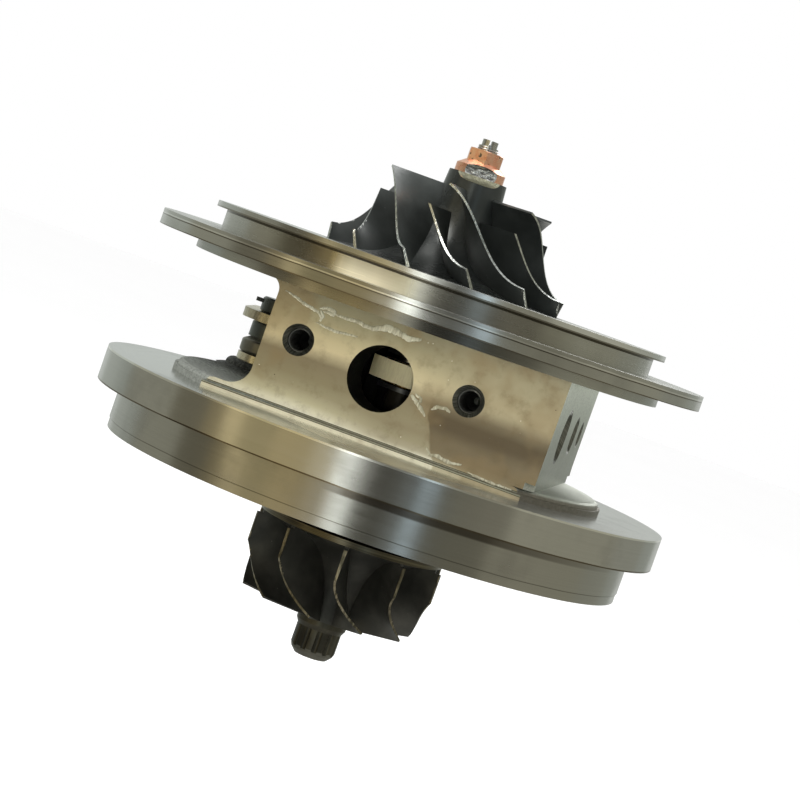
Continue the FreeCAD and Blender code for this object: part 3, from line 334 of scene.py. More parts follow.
def drain_face():
    """Milled face under dried oil, tan at the top, with a brown film low on the right, a band of painted
    reflection and a double line of painted shade.
    """
    g = Graph("drain_face_oiled_steel")
    x, _, z = g.split(g.place)
    waves = g.minus(g.noise(g.place, 90.0, 3.0), 0.5)
    height = g.plus(z, g.times(waves, 0.0012))
    # Colour by height on each side of the film's edge; on the left, the darker band from about 12 to 20 mm is
    # a painted reflection
    left = g.ramp(height, by_millimetres((
        (7.4, (0.95, 0.93, 0.82)), (8.2, (0.90, 0.87, 0.76)), (8.9, (0.95, 0.94, 0.86)),
        (9.8, (0.97, 0.95, 0.82)), (11.3, (0.70, 0.67, 0.51)), (13.5, (0.48, 0.44, 0.32)),
        (16.0, (0.37, 0.33, 0.23)), (20.0, (0.32, 0.275, 0.195)), (21.2, (0.54, 0.475, 0.34)),
        (23.0, (0.82, 0.73, 0.52)), (25.0, (0.74, 0.66, 0.46)), (28.0, (0.53, 0.485, 0.34)),
        (31.0, (0.37, 0.345, 0.25)), (34.0, (0.32, 0.30, 0.225)))))
    right = g.ramp(height, by_millimetres((
        (7.4, (0.62, 0.58, 0.46)), (8.6, (0.56, 0.52, 0.40)), (9.7, (0.44, 0.39, 0.29)),
        (11.0, (0.20, 0.165, 0.115)), (14.0, (0.15, 0.12, 0.084)), (18.0, (0.15, 0.12, 0.082)),
        (20.0, (0.24, 0.20, 0.14)), (22.5, (0.52, 0.455, 0.32)), (24.5, (0.58, 0.515, 0.365)),
        (28.0, (0.50, 0.45, 0.32)), (31.0, (0.46, 0.41, 0.29)), (34.0, (0.38, 0.345, 0.255)))))

    # Edge of the brown film: sharp and bent low down, soft above the drain
    bend = g.ramp(z, by_millimetres(((8.5, 0.48), (11.0, 0.30), (13.5, 0.21), (16.0, 0.12), (17.5, 0.02))))
    edge = g.minus(g.minus(x, 0.0115), g.times(bend, 0.01))
    edge = g.plus(edge, g.times(g.minus(g.noise(g.place, 260.0, 2.0), 0.5), 0.0008))
    above = g.range(height, 0.0188, 0.0218)
    blend = g.times(above, g.range(x, 0.002, 0.022))
    sharp = g.times(g.minus(1.0, above), g.range(edge, -0.0002, 0.0004))
    colour = g.mix(g.plus(blend, sharp), left, right)

    # Tint that fades in below the drain, brown clouds and fine mottle
    fading = g.times(g.range(x, -0.014, 0.008), g.range(height, 0.0165, 0.0130))
    fading = g.times(fading, g.range(height, 0.0085, 0.0100))
    colour = g.mix(g.times(fading, 0.62), colour, (0.30, 0.25, 0.17))
    brown = g.noise(g.shifted((0.2, 0.1, 0.3)), 70.0, 3.0)
    colour = g.mix(g.times(g.range(brown, 0.48, 0.62), 0.5), colour, (0.34, 0.255, 0.15))
    mottle = g.noise(g.place, 420.0, 5.0, 0.65)
    colour = g.mix(g.times(g.range(mottle, 0.48, 0.72), 0.25), colour, (0.22, 0.17, 0.10))

    # Double line of painted shade along the groove, pale specks and dark pits
    off = g.math("ABSOLUTE", g.minus(z, 0.0085))
    band = g.mix(g.range(off, 0.00030, 0.00036), (0.42, 0.43, 0.35), (0.085, 0.080, 0.060))
    colour = g.mix(g.math("LESS_THAN", off, 0.00048), colour, band)
    specks = g.specks((600.0, 0.04, 0.09), (210.0, 0.57, 0.63))
    colour = g.mix(specks, colour, (0.95, 0.93, 0.85))
    pits = g.specks((420.0, 0.03, 0.07), (180.0, 0.62, 0.68), (0.3, 0.2, 0.1), (0.1, 0.4, 0.2))
    colour = g.mix(pits, colour, (0.06, 0.045, 0.03))
    grain = g.noise(g.scaled(g.place, (1.0, 1.0, 0.25)), 2600.0, 3.0)
    rough = g.plus(g.times(mottle, 0.16), 0.26)
    normal = g.bump(grain, 0.00001, 0.5)
    normal = g.bump(mottle, 0.00005, 0.3, normal)
    return g.finish(colour, rough, 0.94, normal)


def feed_face():
    """Machined face round the feed bores, paler towards its top as a painted highlight."""
    g = Graph("feed_face_steel")
    z = g.split(g.place)[2]
    lines = g.noise(g.scaled(g.place, (1.0, 0.2, 1.0)), 2400.0, 2.0)
    patches = g.noise(g.place, 130.0, 4.0)
    level = g.plus(z, g.times(g.minus(patches, 0.5), 0.006))
    # Paler towards the top as a painted highlight
    colour = g.ramp(level, by_millimetres((
        (10.0, (0.37, 0.385, 0.335)), (20.0, (0.40, 0.42, 0.36)), (27.0, (0.64, 0.68, 0.595)),
        (32.0, (0.90, 0.94, 0.84)))))
    colour = g.mix(g.times(g.range(lines, 0.4, 0.7), 0.2), colour, (0.18, 0.19, 0.165))
    rough = g.plus(g.times(patches, 0.15), 0.35)
    return g.finish(colour, rough, 0.9, g.bump(lines, 0.000008, 0.5))


def milled(name, light, dark, rough, metallic=0.95):
    """Flat milled or ground metal with faint lines."""
    g = Graph(name)
    lines = g.noise(g.scaled(g.place, (1.0, 1.0, 0.2)), 2400.0, 2.0)
    patches = g.noise(g.place, 140.0, 4.0)
    colour = g.mix(g.range(g.plus(g.times(lines, 0.6), g.times(patches, 0.4)), 0.35, 0.65), dark, light)
    specks = g.specks((480.0, 0.05, 0.1), (150.0, 0.6, 0.68))
    colour = g.mix(g.times(specks, 0.7), colour, (0.05, 0.05, 0.04))
    roughness = g.plus(g.times(patches, 0.15), rough - 0.07)
    return g.finish(colour, roughness, metallic, g.bump(lines, 0.000008, 0.5))


def cavity_skin():
    """Cast walls inside, painted near black as shade: coarse grain with fine grit."""
    g = Graph("inner_cavity_cast")
    dark = (0.004, 0.004, 0.003)
    lumps = g.noise(g.place, 900.0, 4.0, 0.6)
    grit = g.noise(g.place, 2880.0, 3.0, 0.6)
    patches = g.noise(g.place, 80.0, 3.0)
    colour = g.mix(g.range(lumps, 0.35, 0.66), dark, (0.010, 0.010, 0.009))
    colour = g.mix(g.times(g.range(patches, 0.5, 0.75), 0.4), colour, dimmed(dark, 0.6))
    normal = g.bump(lumps, 0.00035, 0.7)
    normal = g.bump(grit, 0.000105, 0.6, normal)
    return g.finish(colour, g.plus(g.times(grit, 0.2), 0.7), 0.4, normal)


def cast_iron():
    """Cast surfaces: dark round the crank, grey further out, paler and smoother at front right, with painted
    shade on the boss sides.
    """
    g = Graph("cast_iron")
    x, y, z = g.split(g.place)
    away = g.distance(g.minus(x, CRANK_X * MM), g.minus(y, CRANK_Y * MM))
    drift = g.times(g.minus(g.noise(g.place, 220.0, 3.0), 0.5), 0.008)
    away = g.plus(away, drift)
    front = g.minus(g.times(x, 0.8), g.times(y, 0.6))
    pale = g.range(g.plus(front, drift), 0.001, 0.013)
    lumps = g.noise(g.place, 1300.0, 4.0, 0.65)
    grit = g.noise(g.place, 3600.0, 3.0, 0.6)
    light = g.ramp(away, by_millimetres((
        (7.0, (0.075, 0.080, 0.070)), (15.0, (0.15, 0.16, 0.145)), (27.0, (0.42, 0.45, 0.41)),
        (36.0, (0.37, 0.39, 0.36)))))
    dark = g.ramp(away, by_millimetres((
        (7.0, (0.016, 0.018, 0.015)), (15.0, (0.034, 0.037, 0.032)), (27.0, (0.15, 0.16, 0.145)),
        (36.0, (0.25, 0.265, 0.245)))))
    sand = g.mix(g.range(lumps, 0.38, 0.62), dark, light)
    skin = g.mix(g.range(grit, 0.38, 0.62), (0.50, 0.52, 0.465), (0.68, 0.70, 0.63))
    # Boss sides below the top face, darker as painted shade that also dims the rounded top edge
    side = g.mix(g.range(lumps, 0.38, 0.62), (0.22, 0.205, 0.172), (0.27, 0.252, 0.212))
    skin = g.mix(g.range(z, 0.0091, 0.0097), side, skin)
    height = g.times(lumps, g.minus(1.0, g.times(pale, 0.92)))
    normal = g.bump(height, 0.00045, 0.8)
    normal = g.bump(grit, 0.00006, 0.7, normal)
    rough = g.minus(g.plus(g.times(grit, 0.2), 0.5), g.times(pale, 0.12))
    metallic = g.plus(g.times(pale, 0.5), 0.35)
    return g.finish(g.mix(pale, sand, skin), rough, metallic, normal)


def coated(name, light, dark, rough, metallic, sheen=0.0):
    """Dark coated or oxidised metal with small scuffs."""
    g = Graph(name)
    fine = g.noise(g.place, 1500.0, 3.0)
    patches = g.noise(g.place, 120.0, 4.0)
    colour = g.mix(g.range(patches, 0.35, 0.7), dark, light)
    scuffs = g.specks((900.0, 0.05, 0.12), (260.0, 0.62, 0.7))
    colour = g.mix(g.times(scuffs, 0.6), colour, tuple(min(1.0, 0.15 + 4.0 * c) for c in light))
    roughness = g.plus(g.times(patches, 0.2), rough - 0.1)
    extra = {"Coat_Weight": sheen, "Coat_Roughness": 0.35} if sheen else {}
    return g.finish(colour, roughness, metallic, g.bump(fine, 0.00003, 0.4), **extra)


def plated(name, light, dark, scuff, rough):
    """Copper plating, scuffed to the steel here and there."""
    g = Graph(name)
    patches = g.noise(g.place, 700.0, 4.0, 0.6)
    colour = g.mix(g.range(patches, 0.35, 0.65), dark, light)
    wear_and_edge_light = g.times(g.range(g.noise(g.place, 1300.0, 2.0), 0.62, 0.68),
                   g.range(g.noise(g.place, 380.0, 2.0), 0.48, 0.6))
    colour = g.mix(wear_and_edge_light, colour, scuff)
    roughness = g.plus(g.times(patches, 0.25), rough - 0.1)
    return g.finish(colour, roughness, 0.95, g.bump(patches, 0.00006, 0.6))


def ground(name, light, dark, direction, rough=0.24, patch=0.0):
    """Bright metal with coarse grinding lines along one direction; patch is the scale of darker patches."""
    g = Graph(name)
    lines = g.noise(g.scaled(g.place, direction), 1800.0, 3.0, 0.6)
    colour = g.mix(g.range(lines, 0.35, 0.65), dark, light)
    if patch:
        colour = g.mix(g.times(g.range(g.noise(g.place, patch, 2.0), 0.46, 0.56), 0.7), colour, dark)
    return g.finish(colour, rough, 1.0, g.bump(lines, 0.00025, 0.7))


def rubber():
    """Black rubber with a fine grain."""
    g = Graph("black_rubber")
    fine = g.noise(g.place, 1800.0, 3.0)
    colour = g.mix(fine, (0.01, 0.01, 0.01), (0.03, 0.03, 0.03))
    return g.finish(colour, 0.6, 0.0, g.bump(fine, 0.00004, 0.5))


def heat_tinted():
    """Pressed steel with straw and blue heat tints."""
    g = Graph("shield_heat_tint")
    bands = g.noise(g.place, 50.0, 3.0)
    along = g.plus(g.radius(), g.times(bands, 0.006))
    colour = g.mix(g.range(along, 0.012, 0.02), (0.20, 0.22, 0.34), (0.46, 0.34, 0.20))
    colour = g.mix(g.range(along, 0.02, 0.032), colour, (0.52, 0.47, 0.38))
    fine = g.noise(g.place, 1400.0, 2.0)
    return g.finish(colour, 0.32, 1.0, g.bump(fine, 0.00003, 0.4))


# Turned steel of the housing, with painted reflections, highlights and shade
# Spans of azimuth are painted reflections; the bright line at the top edge is a painted highlight and the
# dark line at the bottom edge painted shade
flange_steel = turned(
    "turned_flange_steel", (0.60, 0.59, 0.56), (0.50, 0.49, 0.46), 0.2,
    painted_edge_bands=((6.95, 7.5, (0.92, 0.91, 0.86)), (-0.05, 0.3, (0.16, 0.13, 0.09))),
    painted_light_by_azimuth=((-90, (0.56, 0.56, 0.53)), (-56, (0.57, 0.57, 0.54)), (-51, (0.46, 0.46, 0.43)),
             (-44, (0.55, 0.54, 0.51)), (-32, (0.66, 0.65, 0.60)), (-12, (0.66, 0.64, 0.58)),
             (4, (0.50, 0.50, 0.48)), (10, (0.32, 0.31, 0.29)), (15, (0.46, 0.46, 0.44)),
             (20, (0.32, 0.31, 0.29)), (25, (0.56, 0.55, 0.51)), (31, (0.68, 0.66, 0.62)),
             (46, (0.62, 0.61, 0.57)), (66, (0.59, 0.58, 0.55)), (80, (0.50, 0.50, 0.47)),
             (90, (0.56, 0.56, 0.53))))
# Spans of azimuth are painted reflections and highlights; the dark band just under the flange is a painted
# shadow and the dark line at the lip painted shade
pilot_steel = turned(
    "turned_pilot_steel", (0.56, 0.55, 0.52), (0.46, 0.45, 0.42), 0.22,
    painted_edge_bands=((-7.45, -7.25, (0.22, 0.21, 0.18)),),
    shade=(-2.1, 0.1, (0.085, 0.068, 0.050),
           ((-90, 0.0), (0, 0.0), (5, 0.85), (36, 0.8), (60, 0.35), (80, 0.0), (90, 0.0))),
    painted_light_by_azimuth=((-90, (0.52, 0.51, 0.48)), (-24, (0.50, 0.49, 0.45)), (-17, (0.62, 0.60, 0.56)),
             (-6, (0.50, 0.48, 0.44)), (0, (0.33, 0.32, 0.30)), (5, (0.40, 0.40, 0.38)),
             (12, (0.36, 0.35, 0.32)), (17, (0.56, 0.56, 0.54)), (21, (0.36, 0.35, 0.33)),
             (28, (0.44, 0.43, 0.39)), (42, (0.50, 0.48, 0.44)), (62, (0.47, 0.46, 0.42)),
             (90, (0.52, 0.51, 0.48))))
# Spans of azimuth are painted reflections; the dark spans from about 4 to 20 degrees are painted shadow under
# the plate flange
step_steel = turned(
    "turned_step_steel", (0.46, 0.45, 0.41), (0.32, 0.31, 0.28), 0.27,
    painted_light_by_azimuth=((-90, (0.36, 0.36, 0.33)), (-62, (0.33, 0.33, 0.30)), (-46, (0.48, 0.48, 0.44)),
             (-30, (0.50, 0.48, 0.43)), (-14, (0.48, 0.44, 0.36)), (0, (0.42, 0.39, 0.31)),
             (4, (0.18, 0.17, 0.14)), (8, (0.08, 0.075, 0.062)), (20, (0.10, 0.096, 0.085)),
             (30, (0.34, 0.33, 0.30)), (46, (0.58, 0.58, 0.54)), (68, (0.56, 0.56, 0.52)),
             (90, (0.36, 0.36, 0.33))))
# Spans of azimuth are painted reflections, dark on the right where the boss side is mirrored; the lower metal
# share there lets this colour show
seat_steel = turned(
    "flange_top_steel", (0.52, 0.535, 0.51), (0.44, 0.45, 0.43), 0.13, stain=0.3, clean=0.52,
    painted_light_by_azimuth=((-90, (0.50, 0.515, 0.49)), (-10, (0.46, 0.47, 0.44)), (12, (0.24, 0.245, 0.22)),
             (40, (0.10, 0.10, 0.085)), (62, (0.22, 0.22, 0.19)), (90, (0.50, 0.515, 0.49))),
    metallic_by_azimuth=((-90, 1.0), (12, 1.0), (32, 0.45), (72, 0.45), (90, 1.0)))

# Turned steel of the compressor backplate, with painted reflections, highlights and shade
# Spans of azimuth are painted reflections with a painted highlight from about 5 to 9 degrees; the dark lines
# at 36 and 38.2 mm are painted shade and the bright line above them a painted highlight
plate_steel = turned(
    "turned_plate_steel", (0.60, 0.59, 0.56), (0.48, 0.47, 0.44), 0.22, lines=5200.0,
    painted_edge_bands=((36.0, 36.35, (0.2, 0.17, 0.13)), (38.2, 38.45, (0.18, 0.16, 0.13)),
           (38.45, 38.75, (0.85, 0.84, 0.8))),
    painted_light_by_azimuth=((-90, (0.57, 0.57, 0.54)), (-24, (0.57, 0.56, 0.52)), (-15, (0.38, 0.37, 0.33)),
             (-6, (0.34, 0.33, 0.29)), (1, (0.38, 0.37, 0.34)), (5, (0.74, 0.74, 0.71)),
             (9, (0.76, 0.76, 0.74)), (13, (0.56, 0.56, 0.54)), (20, (0.68, 0.68, 0.66)),
             (30, (0.74, 0.73, 0.68)), (40, (0.50, 0.49, 0.45)), (60, (0.60, 0.60, 0.57)),
             (90, (0.57, 0.57, 0.54))))
# Spans of azimuth are painted light: the bright tan patch from about -16 to 1 degrees is a painted reflection
# shown through a low metal share, the dark spans beside it painted shade, and the dark line at the top a
# painted shadow under the rim
groove_steel = turned(
    "backplate_groove_steel", (0.62, 0.60, 0.54), (0.44, 0.42, 0.37), 0.26, lines=5200.0,
    painted_edge_bands=((43.1, 43.7, (0.09, 0.08, 0.06)),),
    painted_light_by_azimuth=((-90, (0.50, 0.50, 0.47)), (-50, (0.50, 0.49, 0.45)), (-40, (0.48, 0.46, 0.40)),
             (-34, (0.30, 0.28, 0.22)), (-19, (0.22, 0.19, 0.13)), (-15.5, (0.82, 0.72, 0.45)),
             (-12, (1.0, 0.90, 0.60)), (-6, (0.96, 0.86, 0.58)), (1, (0.72, 0.68, 0.50)),
             (5, (0.36, 0.35, 0.31)), (12, (0.30, 0.29, 0.26)), (20, (0.28, 0.27, 0.25)),
             (28, (0.44, 0.42, 0.38)), (40, (0.42, 0.41, 0.36)), (48, (0.57, 0.57, 0.53)),
             (90, (0.50, 0.50, 0.47))),
    metallic_by_azimuth=((-90, 1.0), (-18, 1.0), (-15.5, 0.3), (-13, 0.05), (-6, 0.1), (1, 0.55), (5, 1.0), (90, 1.0)))
# Spans of azimuth are painted reflections and highlights; the dark line at the bottom edge is painted shade
rim_steel = turned(
    "backplate_rim_steel", (0.76, 0.76, 0.73), (0.60, 0.60, 0.57), 0.24, lines=5200.0,
    painted_edge_bands=((43.6, 43.95, (0.30, 0.28, 0.24)),),
    painted_light_by_azimuth=((-90, (0.66, 0.66, 0.63)), (-60, (0.54, 0.54, 0.51)), (-22, (0.42, 0.41, 0.37)),
             (-14, (0.42, 0.41, 0.37)), (-10, (0.52, 0.51, 0.46)), (-4, (0.64, 0.63, 0.58)),
             (0, (0.52, 0.51, 0.48)), (4, (0.80, 0.80, 0.77)), (9, (0.98, 0.98, 0.95)),
             (13, (0.56, 0.55, 0.52)), (20, (1.0, 1.0, 1.0)), (26, (0.92, 0.91, 0.87)),
             (32, (0.88, 0.87, 0.83)), (40, (0.90, 0.90, 0.88)), (52, (1.0, 1.0, 0.99)),
             (66, (0.90, 0.90, 0.88)), (90, (0.66, 0.66, 0.63))))
# The rim's top face is near white, a painted highlight
rim_top_steel = turned("backplate_rim_top_steel", (1.0, 1.0, 0.98), (0.88, 0.88, 0.86), 0.3, lines=5200.0)

# Other steels and coats
fine_steel = turned("fine_turned_steel", (0.62, 0.61, 0.58), (0.5, 0.49, 0.46), 0.22, lines=9000.0, stain=0.1)
chamfer_steel = turned("chamfer_steel", (0.30, 0.30, 0.28), (0.14, 0.14, 0.13), 0.3)
turbine_rim = turned("turbine_disc_rim", (0.20, 0.18, 0.125), (0.09, 0.08, 0.06), 0.34)
shaft_steel = turned("shaft_steel", (0.68, 0.68, 0.66), (0.46, 0.46, 0.44), 0.25, lines=9000.0)
bush_steel = turned("bush_steel", (0.84, 0.78, 0.62), (0.60, 0.55, 0.43), 0.24, lines=8000.0)
bronze = turned("bearing_bronze", (0.72, 0.50, 0.24), (0.55, 0.36, 0.16), 0.28, lines=8000.0)
drain_steel = drain_face()
feed_steel = feed_face()
cast_skin = cast_iron()
# Near-black walls of the cavities, painted shade
inner_cast = cavity_skin()
barrel_steel = milled("bearing_barrel_steel", (0.95, 0.87, 0.55), (0.84, 0.75, 0.46), 0.5, metallic=0.0)
link_steel = milled("bare_link_steel", (0.66, 0.61, 0.47), (0.44, 0.40, 0.31), 0.28)
drip = milled("dried_oil", (0.74, 0.72, 0.57), (0.40, 0.37, 0.26), 0.40, metallic=0.5)
hole_steel = coated("tapped_hole_steel", (0.20, 0.20, 0.185), (0.09, 0.09, 0.082), 0.38, 0.8)
wheel_black = coated("compressor_wheel_black", (0.058, 0.065, 0.061), (0.036, 0.041, 0.038), 0.36, 0.4,
                     sheen=0.2)
# The hub is darker than the blades as painted shade between them
hub_black = coated("compressor_hub_black", (0.040, 0.045, 0.042), (0.024, 0.028, 0.026), 0.27, 0.4, sheen=0.3)
turbine_black = coated("turbine_wheel_black", (0.062, 0.060, 0.048), (0.030, 0.030, 0.024), 0.45, 0.5)
nose_dark = coated("turbine_nose", (0.085, 0.08, 0.058), (0.035, 0.033, 0.026), 0.34, 0.85)
nose_end = coated("turbine_nose_end", (0.13, 0.125, 0.098), (0.08, 0.078, 0.062), 0.45, 0.7)
oxide = coated("black_oxide_steel", (0.095, 0.108, 0.096), (0.046, 0.054, 0.047), 0.3, 0.7, sheen=0.3)
lever_dark = coated("lever_dark_steel", (0.32, 0.305, 0.25), (0.14, 0.135, 0.11), 0.34, 0.85)
wire_dark = coated("split_pin_steel", (0.12, 0.13, 0.12), (0.06, 0.066, 0.06), 0.35, 0.4)
# The shaft inside the housing is oily and darkened further as painted shade
oily_shaded_shaft = coated("oily_shaded_shaft_steel", (0.05, 0.043, 0.030), (0.02, 0.017, 0.012), 0.45, 0.5)
# The turbine-side bearing bronze is oiled and darkened further as painted shade
oiled_shaded_bronze = coated("oiled_shaded_bearing_bronze", (0.10, 0.07, 0.035), (0.04, 0.028, 0.014), 0.45, 0.5)
ring_iron = coated("ring_iron", (0.22, 0.22, 0.21), (0.12, 0.12, 0.115), 0.35, 0.9)
blade_edge = ground("compressor_blade_edge", (0.78, 0.80, 0.77), (0.42, 0.44, 0.42), (1.0, 1.0, 0.3))
turbine_edge = ground("turbine_blade_edge", (0.44, 0.39, 0.28), (0.12, 0.11, 0.08), (1.0, 1.0, 0.3), 0.4,
                      110.0)
scoop = ground("balance_cut", (1.0, 0.99, 0.97), (0.20, 0.19, 0.18), (0.35, 1.0, 1.6), 0.2)
nose_cut = ground("balance_cut_on_wheel", (0.50, 0.49, 0.36), (0.32, 0.31, 0.22), (0.6, 1.0, 1.0), 0.3)
copper = plated("coppered_nut", (1.0, 0.62, 0.44), (0.94, 0.46, 0.30), (0.16, 0.14, 0.12), 0.28)
black_rubber = rubber()
shield = heat_tinted()


def whole(node, material):
    """Gives a CAD node one material."""
    mesh = nodes[node].data
    mesh.materials.clear()
    mesh.materials.append(material)


def zoned(node, materials, zone):
    """Gives each face of a CAD node the material that zone() names for its centre, normal and corners."""
    mesh = nodes[node].data
    mesh.materials.clear()
    names = list(materials)
    for name in names:
        mesh.materials.append(materials[name])
    for face in mesh.polygons:
        corners = [mesh.vertices[i].co / MM for i in face.vertices]
        face.material_index = names.index(zone(face.center / MM, face.normal, corners))


def near(value, target, slack=0.03):
    return abs(value - target) < slack


def from_axis(point):
    return math.hypot(point.x, point.y)


def hole_zone(off, core, chamfer):
    """Tells the wall of a tapped hole from its chamfer, or neither further out."""
    if off < core + 0.02:
        return "hole"
    return "chamfer" if off < chamfer else None


def tapped_zone(centre):
    """Zone of a face that belongs to one of the tapped holes."""
    if not BOSS_TOP < centre.z < STEP_BOTTOM:
        return None
    found = None
    if centre.y < DRAIN_FACE_Y + SCREW_REACH:
        for x, z in DRAIN_SCREWS:
            found = found or hole_zone(math.hypot(centre.x - x, centre.z - z), SCREW_CORE, SCREW_CHAMFER)
    if centre.x > FEED_FACE_X - FEED_REACH:
        for y, core, _, _ in FEED_HOLES:
            off = math.hypot(centre.y - y, centre.z - FEED_Z)
            found = found or hole_zone(off, core, core * FEED_CHAMFER_SHARE)
    return found


def housing_zone(centre, normal, corners):
    radius = from_axis(centre)
    if all(near(p.y, DRAIN_FACE_Y) for p in corners):
        return "drain"
    if all(near(p.x, FEED_FACE_X) for p in corners):
        return "feed"
    tapped = tapped_zone(centre)
    if tapped:
        return tapped
    if radius < CAVITY_RADIUS and CAVITY_BOTTOM < centre.z < CAVITY_TOP:
        if near(radius, BARREL_RADIUS, 0.15) and abs(normal.z) < 0.2 and centre.z > WINDOW_TOP:
            return "barrel"
        return "inner"
    if math.hypot(centre.x, centre.z - DRAIN_Z) < DRAIN_RADIUS + 0.05 and DRAIN_FACE_Y < centre.y < 0:
        return "inner"
    if near(centre.z, FLANGE_TOP) and normal.z > 0.9 and radius > BOSS_RADIUS - 0.5:
        return "seat"
    if STEP_BOTTOM - 0.05 < centre.z and all(near(from_axis(p), STEP_RADIUS, 0.1) for p in corners):
        return "step"
    if centre.z < 0.0 and radius > PILOT_INNER_RADIUS:
        return "pilot"
    if radius > STEP_RADIUS - 0.3 or centre.z < FLANGE_TOP or centre.z > STEP_BOTTOM + 0.02:
        return "turned"
    return "cast"


def plate_zone(centre, normal, corners):
    if GROOVE_BOTTOM < centre.z < GROOVE_TOP and all(near(from_axis(p), BOSS_RADIUS, 0.2) for p in corners):
        return "groove"
    if centre.z > RIM_BOTTOM and from_axis(centre) > RIM_INNER_RADIUS:
        return "rim_top" if normal.z > 0.9 else "rim"
    return "turned"


def shaft_zone(centre, normal, corners):
    return "clean" if centre.z > NOSE_Z else "oily_and_shaded"


def on_balance_cut(corners):
    """Tells whether a face lies on the wall of the round cut that balances the rotor."""
    angle = math.radians(BALANCE_ANGLE)
    start = Vector((BALANCE_REACH * math.sin(angle), -BALANCE_REACH * math.cos(angle), NOSE_Z + BALANCE_RISE))
    along = Vector((math.cos(angle), math.sin(angle), 0.0))
    offsets = [p - start for p in corners]
    return all(near((d - along * d.dot(along)).length, BALANCE_CUT_RADIUS, 0.04) for d in offsets)


def nut_zone(centre, normal, corners):
    return "scoop" if on_balance_cut(corners) else "copper"


def compressor_hub_zone(centre, normal, corners):
    if on_balance_cut(corners):
        return "scoop"
    return "turned" if near(centre.z, NOSE_Z) and normal.z > 0.9 else "black"


def bezier(points, t):
    s = 1.0 - t
    weights = (s ** 3, 3 * s * s * t, 3 * s * t * t, t ** 3)
    return (sum(w * p[0] for w, p in zip(weights, points)), sum(w * p[1] for w, p in zip(weights, points)))


def on_curve(ends, bends, slack):
    """Makes a test for faces on the surface that a curve sweeps round the rotor axis."""
    (r0, z0), (r1, z1) = ends
    handles = [(r0 + along_r * (r1 - r0), z0 + along_z * (z1 - z0)) for along_r, along_z in bends]
    samples = [bezier((ends[0], *handles, ends[1]), i / 80.0) for i in range(81)]

    def test(corners):
        return all(min(math.hypot(from_axis(p) - a, p.z - b) for a, b in samples) <= slack for p in corners)
    return test


compressor_tip = on_curve(COMPRESSOR_TIP, COMPRESSOR_BENDS, 0.35)
turbine_tip = on_curve(TURBINE_TIP, TURBINE_BENDS, 0.3)


def compressor_blade_zone(centre, normal, corners):
    outer = all(from_axis(p) > COMPRESSOR_OUTLET_RADIUS for p in corners)
    return "edge" if outer or compressor_tip(corners) else "black"


def turbine_blade_zone(centre, normal, corners):
    outer = all(from_axis(p) > TURBINE_INLET_RADIUS and p.z > TURBINE_INLET_END_Z for p in corners)
    return "edge" if outer or turbine_tip(corners) else "black"


def turbine_hub_zone(centre, normal, corners):
    if from_axis(centre) > TURBINE_DISC_RADIUS:
        return "rim"
    if centre.z < TURBINE_END_Z:
        return "end"
    return "nose" if centre.z < TURBINE_NOSE_Z else "black"


zoned("bearing_housing",
      {"turned": flange_steel, "pilot": pilot_steel, "step": step_steel, "drain": drain_steel,
       "feed": feed_steel, "hole": hole_steel, "chamfer": chamfer_steel, "barrel": barrel_steel,
       "inner": inner_cast, "seat": seat_steel, "cast": cast_skin}, housing_zone)
zoned("compressor_backplate",
      {"turned": plate_steel, "groove": groove_steel, "rim": rim_steel, "rim_top": rim_top_steel}, plate_zone)
zoned("rotor_shaft", {"clean": shaft_steel, "oily_and_shaded": oily_shaded_shaft}, shaft_zone)
zoned("compressor_nut", {"copper": copper, "scoop": scoop}, nut_zone)
zoned("compressor_wheel_hub", {"black": hub_black, "scoop": nose_cut, "turned": fine_steel},
      compressor_hub_zone)
zoned("compressor_wheel_blades", {"black": wheel_black, "edge": blade_edge}, compressor_blade_zone)
zoned("turbine_wheel_blades", {"black": turbine_black, "edge": turbine_edge}, turbine_blade_zone)
zoned("turbine_wheel_hub", {"black": turbine_black, "rim": turbine_rim, "nose": nose_dark, "end": nose_end},
      turbine_hub_zone)
# The oil deflector wears the near-black inner cast and the turbine-side bearing the darkened bronze, both
# painted shade
for node, material in (
        ("backplate_screws", oxide), ("backplate_seal_ring", black_rubber), ("thrust_bearing", bronze),
        ("thrust_bearing_pins", ring_iron), ("oil_deflector", inner_cast),
        ("compressor_seal_rings", ring_iron), ("turbine_seal_ring", ring_iron),
        ("bearing_snap_rings", ring_iron), ("heat_shield", shield), ("nozzle_dowel", fine_steel),
        ("crank_bush", bush_steel), ("flinger_sleeve", fine_steel), ("thrust_collar", fine_steel),
        ("journal_bearing_compressor", bronze), ("journal_bearing_turbine", oiled_shaded_bronze),
        ("crank_shaft", lever_dark), ("inner_crank_arm", lever_dark), ("lever_arm", lever_dark),
        ("link_pin", oxide), ("pin_collar", oxide), ("split_pin", wire_dark), ("link_plate", link_steel)):
    whole(node, material)


def add_mesh(name, vertices, faces, material, body):
    """Adds a smooth piece, given in millimetres, to a body."""
    mesh = bpy.data.meshes.new(name)
    mesh.from_pydata([Vector(v) * MM for v in vertices], [], faces)
    mesh.validate()
    built = bmesh.new()
    built.from_mesh(mesh)
    bmesh.ops.recalc_face_normals(built, faces=built.faces)
    built.to_mesh(mesh)
    built.free()
    mesh.materials.append(material)
    for face in mesh.polygons:
        face.use_smooth = True
    piece = bpy.data.objects.new(name, mesh)
    bpy.context.collection.objects.link(piece)
    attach(piece, body)


